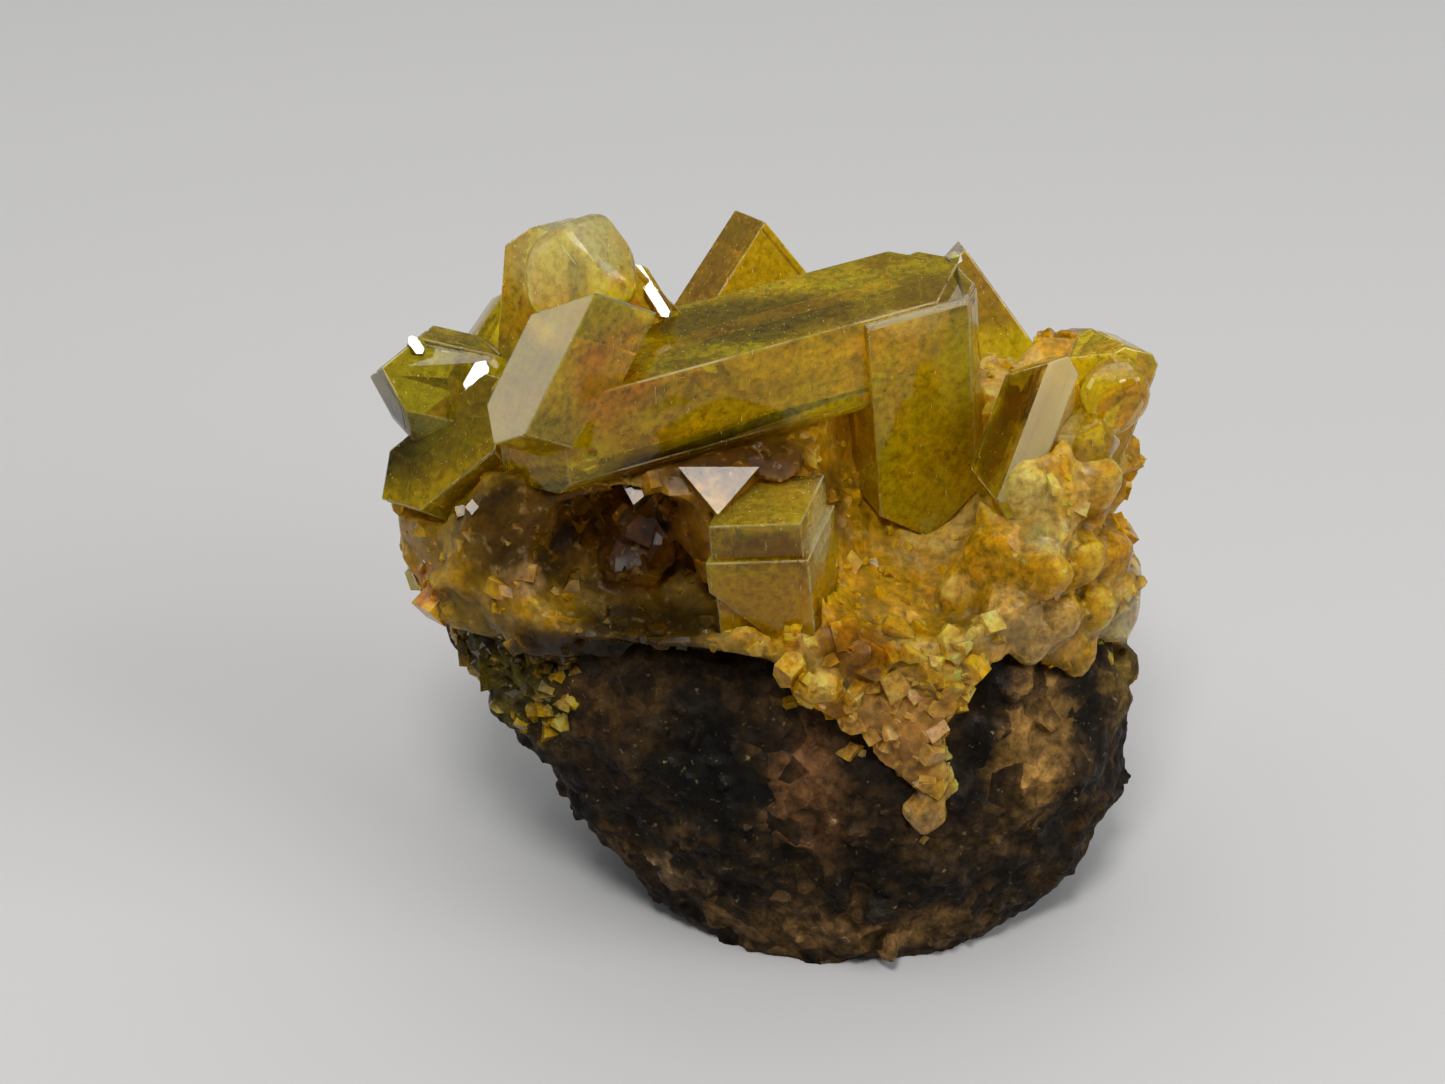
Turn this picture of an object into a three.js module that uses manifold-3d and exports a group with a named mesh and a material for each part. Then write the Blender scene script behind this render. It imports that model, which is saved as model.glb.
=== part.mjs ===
// A golden barite crystal cluster on its host rock, in millimetres, +Z up.
// The origin is on the resting plane, under the middle of the cluster's outline.
// +X is to the right and -Y towards a viewer who has the long main crystal running across the front.
import * as THREE from "three";
import { ConvexGeometry } from "three/addons/geometries/ConvexGeometry.js";
import { ImprovedNoise } from "three/addons/math/ImprovedNoise.js";
import { mergeVertices } from "three/addons/utils/BufferGeometryUtils.js";
import Module from "manifold-3d";

const wasm = await Module();
wasm.setup();

// ---------------------------------------------------------------- driving dimensions

const SEAT_GAP = 0.3; // between a piece and the socket that it grew in

// The rock's outline, level by level: height, then its left, right, front and back limits.
const ROCK_LEVELS = [
  { z: 0, left: -6, right: 19, front: -12.2, back: 9.5 },
  { z: 2, left: -8.8, right: 22, front: -12.9, back: 11.5 },
  { z: 5, left: -11.4, right: 24.6, front: -13.2, back: 13.5 },
  { z: 9, left: -14.6, right: 26, front: -13.4, back: 15 },
  { z: 13, left: -17.6, right: 26.4, front: -13.2, back: 16 },
  { z: 18, left: -21.6, right: 26, front: -12.6, back: 16.2 },
  { z: 22, left: -22.6, right: 24.8, front: -11.6, back: 15.5 },
  { z: 24.5, left: -21.8, right: 23, front: -9.6, back: 14 },
  { z: 25.5, left: -18, right: 20, front: -7, back: 11 },
];
// The golden crust's outline in the same way. Below its lower edge it dips under the rock's surface.
const CRUST_LEVELS = [
  { z: 8, left: -14, right: 25.6, front: -15.3, back: 15.2 },
  { z: 15, left: -19, right: 26.4, front: -14.8, back: 17 },
  { z: 20, left: -22.4, right: 26.4, front: -13.8, back: 17.4 },
  { z: 25, left: -24, right: 26, front: -13, back: 17.4 },
  { z: 30, left: -23.6, right: 24.4, front: -11.5, back: 16.6 },
  { z: 34, left: -22.5, right: 22.6, front: -9, back: 15 },
  { z: 37, left: -18, right: 19, front: -5, back: 12 },
];
const CRUST_DIP = 5; // how far the crust's outline goes under the rock below its edge

// The crust's lower edge, round the cluster: how high it runs at each azimuth in degrees. The low places are
// tongues that run down the rock.
const CRUST_EDGE = [
  [-180, 20.6],
  [-153, 25],
  [-128, 26.2],
  [-108, 25.4],
  [-88, 21.3],
  [-77, 18],
  [-68, 14.4],
  [-63, 11],
  [-59, 14],
  [-53, 20.4],
  [-47, 22.6],
  [-36, 25],
  [-31, 21.4],
  [-22, 24],
  [-4, 18],
  [30, 21],
  [60, 15],
  [95, 21],
  [125, 16],
  [150, 21],
  [180, 20.6],
];
const CRUST_RAGGED = 1.2; // how far the edge strays from that line
// The uneven surfaces: each kind of lump's size across, its height, and where in the noise it starts.
const ROCK_RELIEF = [
  { size: 7, height: 1.8, seed: 3.1 },
  { size: 2.6, height: 0.7, seed: 8.4 },
];
const CRUST_RELIEF = [
  { size: 6, height: 1.6, seed: 1.3 },
  { size: 2.2, height: 0.9, seed: 6.6 },
];
const CRUST_TOP_RELIEF = [{ size: 5, height: 1.6, seed: 4.4 }];
const CRUST_EDGE_RELIEF = [{ size: 4, height: CRUST_RAGGED, seed: 5.7 }];
const HOLLOW_RELIEF = [{ size: 6, height: 0.12, seed: 2.9 }]; // as a share of the hollow's radius
// Round dents in the sides of the rock and the crust.
const DENTS = [
  { at: [-14, -12, 12], radius: 7, depth: 1.6 },
  { at: [2, 18, 33], radius: 9, depth: 4 },
  { at: [22, 16, 14], radius: 8, depth: 2.4 },
];
// Deep hollows in the crust: the cave under the long crystal and the slope in front of its end block.
const HOLLOWS = [
  { at: [-8, -11, 31.5], radii: [8.5, 10, 5] },
  { at: [11, -8, 37.5], radii: [9, 14, 11.4] },
];
// Flat breaks on the rock: each plane's outward direction and its distance from the rock's heart.
const ROCK_HEART = new THREE.Vector3(4, 1.5, 13);
const ROCK_BREAKS = [
  { facing: [-0.5, -1, -0.2], distance: 15.6 },
  { facing: [-0.1, -1, 0.35], distance: 14.4 },
  { facing: [-0.85, -0.55, -0.35], distance: 19.3 },
  { facing: [0.5, -0.85, -0.2], distance: 18.2 },
  { facing: [0.7, 0.7, -0.25], distance: 18.4 },
  { facing: [-0.6, 0.75, -0.3], distance: 17.6 },
  { facing: [0.1, 1, 0.1], distance: 13.8 },
  { facing: [-0.8, 0.1, -0.62], distance: 18 },
];
// Angular lumps fused to the rock and small crystals fused to the crust: how many, their least and greatest
// size, the heights that they lie between, and how deep their centres are sunk, as a share of their size.
const ROCK_LUMPS = { count: 14, least: 1.6, most: 3.4, lowest: 3, highest: 19, sunk: 0.38, seed: 20 };
const DRUSE = { count: 36, least: 1.1, most: 2.1, lowest: 24, highest: 36, sunk: 0.3, seed: 7 };

// ---------------------------------------------------------------- small helpers

const vector = (xyz) => new THREE.Vector3(...xyz);
const { degToRad, radToDeg, lerp, clamp, smoothstep } = THREE.MathUtils;
const noise = new ImprovedNoise();
const UP = new THREE.Vector3(0, 0, 1);
const SAME_POINT = 1e-4; // points closer than this are one
const ROUNDING = 1e-6;

// How high an uneven surface stands at a point: for each kind of lump, three octaves of smooth noise about
// zero.
function relief(kinds, point) {
  let sum = 0;
  for (const { size, height, seed } of kinds)
    for (const octave of [1, 2, 4]) {
      const at = point.clone().multiplyScalar(octave / size);
      sum += (height * noise.noise(at.x + seed, at.y - seed, at.z + 2 * seed)) / octave;
    }
  return sum;
}

// A closed geometry as a solid that can be joined and cut.
function solidOf(geometry) {
  const bare = geometry.clone();
  bare.deleteAttribute("normal");
  bare.deleteAttribute("uv");
  const merged = mergeVertices(bare, SAME_POINT);
  return new wasm.Manifold(
    new wasm.Mesh({
      numProp: 3,
      vertProperties: new Float32Array(merged.attributes.position.array),
      triVerts: new Uint32Array(merged.index.array),
    }),
  );
}

// The largest of a solid's separate bodies, so that a cut leaves no loose crumbs.
function largestBody(solid) {
  const bodies = solid.decompose();
  return bodies.reduce((a, b) => (a.volume() > b.volume() ? a : b));
}

function geometryOf(solid) {
  const mesh = solid.getMesh();
  const geometry = new THREE.BufferGeometry();
  geometry.setAttribute("position", new THREE.BufferAttribute(mesh.vertProperties, 3));
  geometry.setIndex(new THREE.BufferAttribute(mesh.triVerts, 1));
  return geometry;
}

const joined = (solids) => solids.reduce((a, b) => a.add(b));

// ---------------------------------------------------------------- barite crystals

// Angles between the faces of an orthorhombic barite crystal, in degrees.
const PRISM_FROM_A = 39.2; // the upright {210} faces lean this far from the a axis
const DOME_FROM_C = 52.7; // the {011} faces that bevel the long sides, from the c axis
const END_FROM_C = 38.8; // the {101} faces that bevel the ends, from the c axis

// Each form's faces as outward directions: a along X, b along Y and c along Z.
const cosAndSin = (degrees) => [Math.cos(degToRad(degrees)), Math.sin(degToRad(degrees))];
const [prismA, prismB] = cosAndSin(PRISM_FROM_A);
const [domeC, domeB] = cosAndSin(DOME_FROM_C);
const [endC, endA] = cosAndSin(END_FROM_C);
const FORMS = {
  a: [[1, 0, 0], [-1, 0, 0]],
  b: [[0, 1, 0], [0, -1, 0]],
  c: [[0, 0, 1], [0, 0, -1]],
  prism: [
    [prismA, prismB, 0],
    [prismA, -prismB, 0],
    [-prismA, prismB, 0],
    [-prismA, -prismB, 0],
  ],
  dome: [
    [0, domeB, domeC],
    [0, -domeB, domeC],
    [0, domeB, -domeC],
    [0, -domeB, -domeC],
  ],
  end: [
    [endA, 0, endC],
    [-endA, 0, endC],
    [endA, 0, -endC],
    [-endA, 0, -endC],
  ],
};

// The corners where three of the planes meet inside all the others.
function cornersOf(planes) {
  const corners = [];
  for (let i = 0; i < planes.length; i++)
    for (let j = i + 1; j < planes.length; j++)
      for (let k = j + 1; k < planes.length; k++) {
        const rows = [planes[i], planes[j], planes[k]].map((plane) => plane.facing);
        const system = new THREE.Matrix3().set(...rows[0], ...rows[1], ...rows[2]);
        if (Math.abs(system.determinant()) < ROUNDING) continue;
        const distances = new THREE.Vector3(planes[i].distance, planes[j].distance, planes[k].distance);
        const corner = distances.applyMatrix3(system.invert());
        const reach = (plane) => vector(plane.facing).dot(corner) - plane.distance;
        const inside = planes.every((plane) => reach(plane) <= ROUNDING);
        if (inside && !corners.some((other) => other.distanceTo(corner) < SAME_POINT)) corners.push(corner);
      }
  return corners;
}

// One crystal: its centre, which way its long a axis and its broad c face point, and how far each form's
// faces lie from the centre: one distance for the whole form, or one for each of its faces, where null is a
// face that did not grow. grown moves every face out by that much.
function crystal({ at, long, face, forms }, grown = 0) {
  const planes = [];
  for (const [form, distances] of Object.entries(forms))
    for (const [i, facing] of FORMS[form].entries()) {
      const distance = Array.isArray(distances) ? distances[i] : distances;
      if (distance !== null) planes.push({ facing, distance: distance + grown });
    }
  const a = vector(long).normalize();
  const c = vector(face).addScaledVector(a, -a.dot(vector(face))).normalize();
  const b = new THREE.Vector3().crossVectors(c, a);
  const place = new THREE.Matrix4().makeBasis(a, b, c).setPosition(...at);
  return solidOf(new ConvexGeometry(cornersOf(planes)).applyMatrix4(place));
}

// Each large crystal, or group of crystals that have grown through each other, is one solid.
const MAIN_AXES = { long: [25, 9.5, 2.4], face: [0, 0.02, 1] };
const CRYSTALS = {
  main_crystals: [
    // The long bar, the end block that stands down from it, and three that grow up through its left end.
    {
      at: [-1.9, 1, 40.5],
      ...MAIN_AXES,
      forms: { c: 3.6, b: 4.1, dome: [null, null, 4.8, 4.8], prism: 12.9 },
    },
    {
      at: [8.9, 4.2, 36.5],
      ...MAIN_AXES,
      forms: {
        c: [8.45, 16],
        b: 4,
        a: [5.9, 2.9],
        prism: [5.9, 5.9, null, null],
        end: [null, null, 7.9, 6.9],
      },
    },
    {
      at: [-12.2, -5.3, 45.3],
      long: [0.45, 0.3, 0.84],
      face: [-0.656, -0.542, 0.525],
      forms: { c: 2.9, b: 2.2, prism: [2.3, 5, 5.6, 5.6] },
    },
    {
      at: [-13.2, 2.2, 45],
      long: [0.1, 0.25, 1],
      face: [-0.5, -0.8, 0.3],
      forms: { c: 2.4, b: 3.5, a: 5.2, prism: 5 },
    },
    {
      at: [-9.9, 2.8, 45],
      long: [0.62, 0.1, -0.78],
      face: [0.35, -0.85, 0.4],
      forms: { c: 1.7, b: 2.3, a: [9, 3.6], prism: 4.4 },
    },
  ],
  rear_point_crystal: [
    {
      at: [-0.6, 14, 37.6],
      long: [0.88, 0.47, -0.09],
      face: [0.45, -0.85, 0.2],
      forms: { c: 2.2, prism: 4.7 },
    },
  ],
  rear_right_crystal: [
    {
      at: [14, 13.4, 35.6],
      long: [1, 0, -0.05],
      face: [0.3, -0.9, 0.3],
      forms: { c: 2.3, prism: 4.6 },
    },
  ],
  centre_crystal: [
    {
      at: [0.6, -7.9, 31.8],
      long: [0.56, -0.83, 0.05],
      face: [-0.1, 0, 1],
      forms: { c: [4.1, 5], prism: 2.95 },
    },
    {
      at: [0.9, -7.9, 29],
      long: [0.56, -0.83, 0.05],
      face: [-0.1, 0, 1],
      forms: { c: [4.3, 3.4], prism: 3.3, dome: [null, null, 4.1, 2.9] },
    },
  ],
  right_crystals: [
    {
      at: [18.6, 0.1, 38],
      long: [0.35, 0.5, 0.79],
      face: [0.15, -0.8, 0.55],
      forms: { c: 2.6, dome: 2.4, prism: [3, 3, 6, 6] },
    },
    {
      at: [23, 2.5, 37.5],
      long: [0.3, 0.3, 0.85],
      face: [0.5, -0.75, 0.45],
      forms: { c: 2.3, a: 4.2, dome: 2.9, prism: 4 },
    },
  ],
  left_crystals: [
    {
      at: [-21, 0.9, 39.2],
      long: [-1, -0.15, 0.35],
      face: [0.1, -0.75, 0.65],
      forms: { c: 2, dome: 3.2, prism: 4 },
    },
    {
      at: [-19.4, -1.6, 35.8],
      long: [0.9, 0.1, 0.75],
      face: [-0.35, -0.6, 0.75],
      forms: { c: 2.6, b: 2.6, prism: 5 },
    },
    {
      at: [-17.2, 4, 39.6],
      long: [0.6, 0.3, 0.8],
      face: [-0.3, -0.7, 0.6],
      forms: { c: 2, dome: 3, prism: 4.4 },
    },
  ],
};
// Crystals of a middling size that are part of the crust, listed in the same way.
const KNOBS = [
  {
    at: [-3, -3.6, 33.2],
    long: [1, 0.1, -0.3],
    face: [0, -0.35, 0.94],
    forms: { c: 2, prism: 3.4 },
  },
  {
    at: [-8.8, -2.6, 32],
    long: [1, -0.2, 0.2],
    face: [0, -0.35, 0.94],
    forms: { c: 1.6, prism: 1.9 },
  },
  {
    at: [-8.4, -4.4, 29.8],
    long: [0.6, 0.4, 0.5],
    face: [0, -0.6, 0.8],
    forms: { c: 1.5, dome: 2, prism: 2.4 },
  },
  {
    at: [-15.6, -5.5, 28],
    long: [0.3, -0.5, 0.8],
    face: [0.2, -0.9, 0.3],
    forms: { c: 1.5, prism: 2.2 },
  },
  {
    at: [-22.6, -1.6, 30],
    long: [-0.1, -0.2, 1],
    face: [-0.8, -0.6, 0.1],
    forms: { c: 1.6, dome: 2.4, prism: 5.4 },
  },
  {
    at: [-17.6, -5, 32],
    long: [0.4, 0.1, 0.8],
    face: [-0.1, -0.9, 0.4],
    forms: { c: 1.8, dome: 2.6, prism: 4 },
  },
  {
    at: [22.6, -2.6, 24.6],
    long: [0.3, -0.3, 0.8],
    face: [0.6, -0.7, 0.3],
    forms: { c: 2.2, a: 3.2, dome: 2.8, prism: 3.6 },
  },
  {
    at: [18, -4.2, 32.8],
    long: [0.5, 0.2, 0.7],
    face: [-0.3, -0.8, 0.5],
    forms: { c: 1.9, dome: 2.6, prism: 3.6 },
  },
  {
    at: [20.2, -2.4, 33.4],
    long: [-0.3, 0.2, 0.9],
    face: [0.2, -0.9, 0.3],
    forms: { c: 2, dome: 2.6, prism: 3.4 },
  },
  {
    at: [6.5, 14.5, 35.6],
    long: [0.9, 0.2, 0.4],
    face: [0.2, 0.7, 0.7],
    forms: { c: 2.4, dome: 3.4, prism: 5.4 },
  },
  {
    at: [-10, 11.6, 36.6],
    long: [-0.6, 0.5, 0.6],
    face: [-0.4, 0.6, 0.7],
    forms: { c: 2.2, dome: 3.6, prism: 5 },
  },
  {
    at: [20, 9.4, 33.4],
    long: [0.5, 0.6, 0.5],
    face: [0.8, 0.2, 0.6],
    forms: { c: 2, dome: 3, prism: 4.6 },
  },
];

// ---------------------------------------------------------------- the rock and the crust

// The limits at a height, eased between the levels on either side.
function limitsAt(levels, z) {
  const above = levels.findIndex((level) => level.z >= z);
  if (above === 0) return levels[0];
  if (above < 0) return levels[levels.length - 1];
  const [low, high] = [levels[above - 1], levels[above]];
  const share = (z - low.z) / (high.z - low.z);
  const eased = {};
  for (const side of ["left", "right", "front", "back"]) eased[side] = lerp(low[side], high[side], share);
  return eased;
}

// A point on the outline at a height and azimuth, at a share of the way out from its middle.
const SQUARENESS = 2.4; // 2 is an ellipse, and more is squarer
function outlinePoint(levels, z, azimuth, share) {
  const { left, right, front, back } = limitsAt(levels, z);
  const cos = Math.cos(azimuth);
  const sin = Math.sin(azimuth);
  const reach = share * (Math.abs(cos) ** SQUARENESS + Math.abs(sin) ** SQUARENESS) ** (-1 / SQUARENESS);
  const x = (left + right) / 2 + ((right - left) / 2) * cos * reach;
  const y = (front + back) / 2 + ((back - front) / 2) * sin * reach;
  return new THREE.Vector3(x, y, z);
}

// A closed skin round a stack of levels: a flat floor, the side wall and a top. shape moves each point, and
// is told how far out it is: less than 1 on the floor and the top.
const COLUMNS = 46;
const CROWDING = 0.35; // how much closer together the columns stand at the front, and further apart behind
const ROWS = 22;
const FLOOR_ROWS = 2;
const TOP_ROWS = 3;
function skin(levels, shape) {
  const geometry = new THREE.SphereGeometry(1, COLUMNS, ROWS).rotateX(Math.PI / 2);
  const { position, uv } = geometry.attributes;
  const lowest = levels[0].z;
  const highest = levels[levels.length - 1].z;
  const wallRows = ROWS - FLOOR_ROWS - TOP_ROWS;
  for (let i = 0; i < position.count; i++) {
    const row = Math.round(uv.getY(i) * ROWS);
    const even = Math.atan2(position.getY(i), position.getX(i));
    const azimuth = even - CROWDING * Math.cos(even);
    const climb = clamp((row - FLOOR_ROWS) / wallRows, 0, 1);
    const out = Math.min(row / FLOOR_ROWS, (ROWS - row) / TOP_ROWS, 1);
    const point = shape(outlinePoint(levels, lerp(lowest, highest, climb), azimuth, out), out);
    position.setXYZ(i, point.x, point.y, point.z);
  }
  return solidOf(geometry);
}

// How far the round dents push a point in: full at a dent's centre and nothing at its rim.
function dentAt(point) {
  let depth = 0;
  for (const dent of DENTS) {
    const near = Math.max(1 - point.distanceTo(vector(dent.at)) / dent.radius, 0);
    depth += dent.depth * smoothstep(near, 0, 1);
  }
  return depth;
}

const outwards = (point) => point.clone().sub(ROCK_HEART).setZ(0).normalize();

const FOOT = [0.2, 3]; // the heights between which the rock's relief fades in above its resting face
const LEAST_SLANT = 0.3; // keeps a flat break from pulling a steep side too far in

// The rock's side at a point of its outline. grown is how far outside the rock the surface lies.
function rockSide(point, grown) {
  const rise = smoothstep(point.z, ...FOOT);
  const away = outwards(point);
  const side = point.clone().addScaledVector(away, rise * relief(ROCK_RELIEF, point) - dentAt(point));
  for (const { facing, distance } of ROCK_BREAKS) {
    const direction = vector(facing).normalize();
    const proud = direction.dot(side.clone().sub(ROCK_HEART)) - distance;
    if (proud > 0) side.addScaledVector(away, (-rise * proud) / Math.max(direction.dot(away), LEAST_SLANT));
  }
  return side.addScaledVector(away, grown);
}

function rockSkin(grown) {
  const middle = ROCK_HEART.z;
  return skin(ROCK_LEVELS, (point, out) => {
    const side = out < 1 ? point.clone() : rockSide(point, grown);
    if (side.z > middle && out < 1) side.z += grown;
    return side;
  });
}

// The height of the crust's lower edge near a point.
function crustEdge(point) {
  const azimuth = radToDeg(Math.atan2(point.y - ROCK_HEART.y, point.x - ROCK_HEART.x));
  const next = Math.max(CRUST_EDGE.findIndex(([at]) => at >= azimuth), 1);
  const [[fromAt, from], [toAt, to]] = [CRUST_EDGE[next - 1], CRUST_EDGE[next]];
  return lerp(from, to, (azimuth - fromAt) / (toAt - fromAt)) + relief(CRUST_EDGE_RELIEF, point);
}

// The crust dips under the rock between these distances below and above its edge line.
const EDGE_BELOW = 0.6;
const EDGE_ABOVE = 0.9;

// The crust's surface at a point of its outline.
function crustSide(point) {
  const away = outwards(point);
  const side = point.clone().addScaledVector(away, relief(CRUST_RELIEF, point) - dentAt(point));
  const edge = crustEdge(side);
  const bare = 1 - smoothstep(side.z, edge - EDGE_BELOW, edge + EDGE_ABOVE);
  return side.addScaledVector(away, -bare * CRUST_DIP);
}

function crustSkin() {
  const middle = ROCK_HEART.z;
  return skin(CRUST_LEVELS, (point, out) => {
    const side = crustSide(point);
    if (point.z > middle) side.z += relief(CRUST_TOP_RELIEF, point) * (1 - out);
    return side;
  });
}

// An egg-shaped hollow with an uneven wall.
function hollow({ at, radii }) {
  const geometry = new THREE.IcosahedronGeometry(1, 3).scale(...radii).translate(...at);
  const { position } = geometry.attributes;
  for (let i = 0; i < position.count; i++) {
    const point = new THREE.Vector3().fromBufferAttribute(position, i);
    point.lerp(vector(at), relief(HOLLOW_RELIEF, point));
    position.setXYZ(i, ...point);
  }
  return solidOf(geometry);
}

// A repeatable run of numbers between 0 and 1.
function series(seed) {
  let state = seed;
  return () => {
    state = (state * 16807) % 2147483647;
    return state / 2147483647;
  };
}
// A direction near another, turned aside at random.
function near(direction, chance, spread) {
  const aside = new THREE.Vector3(chance() - 0.5, chance() - 0.5, chance() - 0.5);
  return direction.clone().addScaledVector(aside, spread);
}

const GOLDEN_ANGLE = Math.PI * (3 - Math.sqrt(5));

const LUMP_SHAPE = [1, 0.8, 0.65]; // a lump is flatter than it is long

// Angular lumps of the rock, each a turned and flattened dodecahedron, part sunk in its side. grown is how
// far outside them their surfaces lie.
function rockLumps(grown) {
  const { count, least, most, lowest, highest, sunk, seed } = ROCK_LUMPS;
  const chance = series(seed);
  return Array.from({ length: count }, (_, i) => {
    const z = lerp(lowest, highest, (i + 0.5) / count);
    const size = lerp(least, most, chance());
    const at = rockSide(outlinePoint(ROCK_LEVELS, z, i * GOLDEN_ANGLE, 1), -sunk * size);
    const shape = new THREE.DodecahedronGeometry(size + 2 * grown).scale(...LUMP_SHAPE);
    shape.rotateX(chance() * Math.PI).rotateZ(chance() * Math.PI).translate(...at);
    return solidOf(shape);
  });
}

const DRUSE_LEAN = 1.4; // how far a small crystal's length strays from straight outwards
const DRUSE_TWIST = 2.2; // and how far its broad face is turned about it
const MOST_SWALLOWED = 0.2; // the share of a small crystal that a large one may take
const LEAST_ROOTED = 0.3; // the share that has to be inside the crust

// Small crystals that stand out of the crust all round. One that a large crystal would swallow, or that would
// hang over a hollow, is left out.
function druse(crust, taken) {
  const { count, least, most, lowest, highest, sunk, seed } = DRUSE;
  const chance = series(seed);
  const small = Array.from({ length: count }, (_, i) => {
    const z = lerp(lowest, highest, (i + 0.5) / count);
    const size = lerp(least, most, chance());
    const side = crustSide(outlinePoint(CRUST_LEVELS, z, i * GOLDEN_ANGLE, 1));
    const away = outwards(side).add(UP).normalize();
    const at = side.addScaledVector(outwards(side), -sunk * size).toArray();
    const long = near(away, chance, DRUSE_LEAN).toArray();
    const face = near(away, chance, DRUSE_TWIST).cross(away).toArray();
    return crystal({ at, long, face, forms: { c: 0.55 * size, dome: 0.9 * size, prism: 1.3 * size } });
  });
  const share = (solid, other) => solid.intersect(other).volume() / solid.volume();
  return small.filter((solid) => share(solid, taken) < MOST_SWALLOWED && share(solid, crust) > LEAST_ROOTED);
}

// ---------------------------------------------------------------- the cluster

// The pieces grew one after another, so each is cut where it meets those before it. Crystals come first, the
// crust that fills in round them next, and the rock that holds them all last.
const pieces = {};
let taken = null; // all that has grown so far, with the seat gap round it
for (const [name, members] of Object.entries(CRYSTALS)) {
  const whole = joined(members.map((member) => crystal(member)));
  const room = joined(members.map((member) => crystal(member, SEAT_GAP)));
  pieces[name] = taken ? largestBody(whole.subtract(taken)) : whole;
  taken = taken ? taken.add(room) : room;
}
const bed = crustSkin().subtract(joined(HOLLOWS.map(hollow)));
const crust = joined([bed, ...KNOBS.map((member) => crystal(member)), ...druse(bed, taken)]);
const rock = (grown) => joined([rockSkin(grown), ...rockLumps(grown)]);
pieces.barite_crust = largestBody(crust.subtract(rock(SEAT_GAP)).subtract(taken));
pieces.host_rock = largestBody(rock(0).subtract(taken));

const BARITE = { color: 0xa98a1e, roughness: 0.25, metalness: 0 };
const ROCK = { color: 0x3a3028, roughness: 0.9, metalness: 0 };

function piece(name, solid, look) {
  const mesh = new THREE.Mesh(geometryOf(solid), new THREE.MeshStandardMaterial(look));
  mesh.name = name;
  return mesh;
}

const cluster = new THREE.Group();
cluster.name = "barite_cluster";
for (const [name, solid] of Object.entries(pieces))
  cluster.add(piece(name, solid, name === "host_rock" ? ROCK : BARITE));

// The origin goes under the middle of the outline.
const outline = new THREE.Box3().setFromObject(cluster);
const middle = outline.getCenter(new THREE.Vector3());
for (const { geometry } of cluster.children) geometry.translate(-middle.x, -middle.y, -outline.min.z);

export default cluster;
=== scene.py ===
# The looks of a golden barite crystal cluster on its host rock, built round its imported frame.
# Everything is in metres in the row frame: +X to the right, -Y towards the viewer, +Z up.
import logging
import math
import random
from collections.abc import Callable, Iterable, Iterator
from contextlib import contextmanager
from dataclasses import dataclass
from enum import Enum
from itertools import accumulate

import bmesh
import bpy
from mathutils import Matrix, Vector
from mathutils.bvhtree import BVHTree
from mathutils.geometry import intersect_point_line

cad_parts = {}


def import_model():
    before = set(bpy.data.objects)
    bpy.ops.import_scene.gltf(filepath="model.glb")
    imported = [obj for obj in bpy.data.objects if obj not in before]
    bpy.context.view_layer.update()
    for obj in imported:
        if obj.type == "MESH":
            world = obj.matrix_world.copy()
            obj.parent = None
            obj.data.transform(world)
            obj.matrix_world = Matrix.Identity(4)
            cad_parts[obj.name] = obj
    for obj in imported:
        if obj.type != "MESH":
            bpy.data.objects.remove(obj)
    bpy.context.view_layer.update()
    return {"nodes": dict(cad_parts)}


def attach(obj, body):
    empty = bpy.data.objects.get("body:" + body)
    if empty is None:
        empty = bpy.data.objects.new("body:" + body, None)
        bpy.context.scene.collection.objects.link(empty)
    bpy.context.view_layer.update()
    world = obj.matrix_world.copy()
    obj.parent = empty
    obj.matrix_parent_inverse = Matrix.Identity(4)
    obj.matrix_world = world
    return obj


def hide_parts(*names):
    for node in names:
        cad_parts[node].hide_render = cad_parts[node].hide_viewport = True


Object = bpy.types.Object
Material = bpy.types.Material
Tree = bpy.types.NodeTree
Node = bpy.types.Node
Socket = bpy.types.NodeSocket
Triple = tuple[float, float, float]
Shades = tuple[tuple[float, str], ...]

log = logging.getLogger("barite_cluster")

MM = 0.001
# Corners of a frame mesh that are nearer than this are one corner.
SAME_CORNER = 0.004 * MM
# Where an outline turns inwards by less than this, it still counts as straight.
STRAIGHT = 1e-3 * MM * MM
# The lower and the upper colour of a Mix node, by the numbers of its sockets.
UNDER, OVER = 6, 7

# ---------------------------------------------------------------- helpers


def linear(colour: str) -> tuple[float, float, float, float]:
    """Turns an sRGB colour to the linear one that shaders take.

    Args:
        colour: The colour as hex digits, such as "#c08a1e".

    Returns:
        Linear red, green, blue and an alpha of one.
    """
    channels = [int(colour[i : i + 2], 16) / 255 for i in (1, 3, 5)]
    red, green, blue = (c / 12.92 if c <= 0.04045 else ((c + 0.055) / 1.055) ** 2.4 for c in channels)
    return red, green, blue, 1.0


def add_node(
    tree: Tree,
    kind: str,
    inputs: dict | None = None,
    stops: Shades = (),
    **settings: object,
) -> Node:
    """Adds a node with its settings and links.

    Args:
        tree: The material's node tree.
        kind: The node's type name, less the "ShaderNode" that all of them start with.
        inputs: What goes into its sockets, by name or number: a value, another node's output, or
            another node, which stands for its first output in use.
        stops: A colour ramp's heights with their sRGB colours, in rising order.
        **settings: The node's own properties.

    Returns:
        The new node.
    """
    node = tree.nodes.new(f"ShaderNode{kind}")
    for name, value in settings.items():
        setattr(node, name, value)
    for name, value in (inputs or {}).items():
        if isinstance(value, Node):
            value = next(output for output in value.outputs if output.enabled)
        if isinstance(value, Socket):
            tree.links.new(value, node.inputs[name])
        else:
            node.inputs[name].default_value = value
    for height, _ in stops[2:]:
        node.color_ramp.elements.new(height)
    for number, (height, colour) in enumerate(stops):
        node.color_ramp.elements[number].position = height
        node.color_ramp.elements[number].color = linear(colour)
    return node


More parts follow.
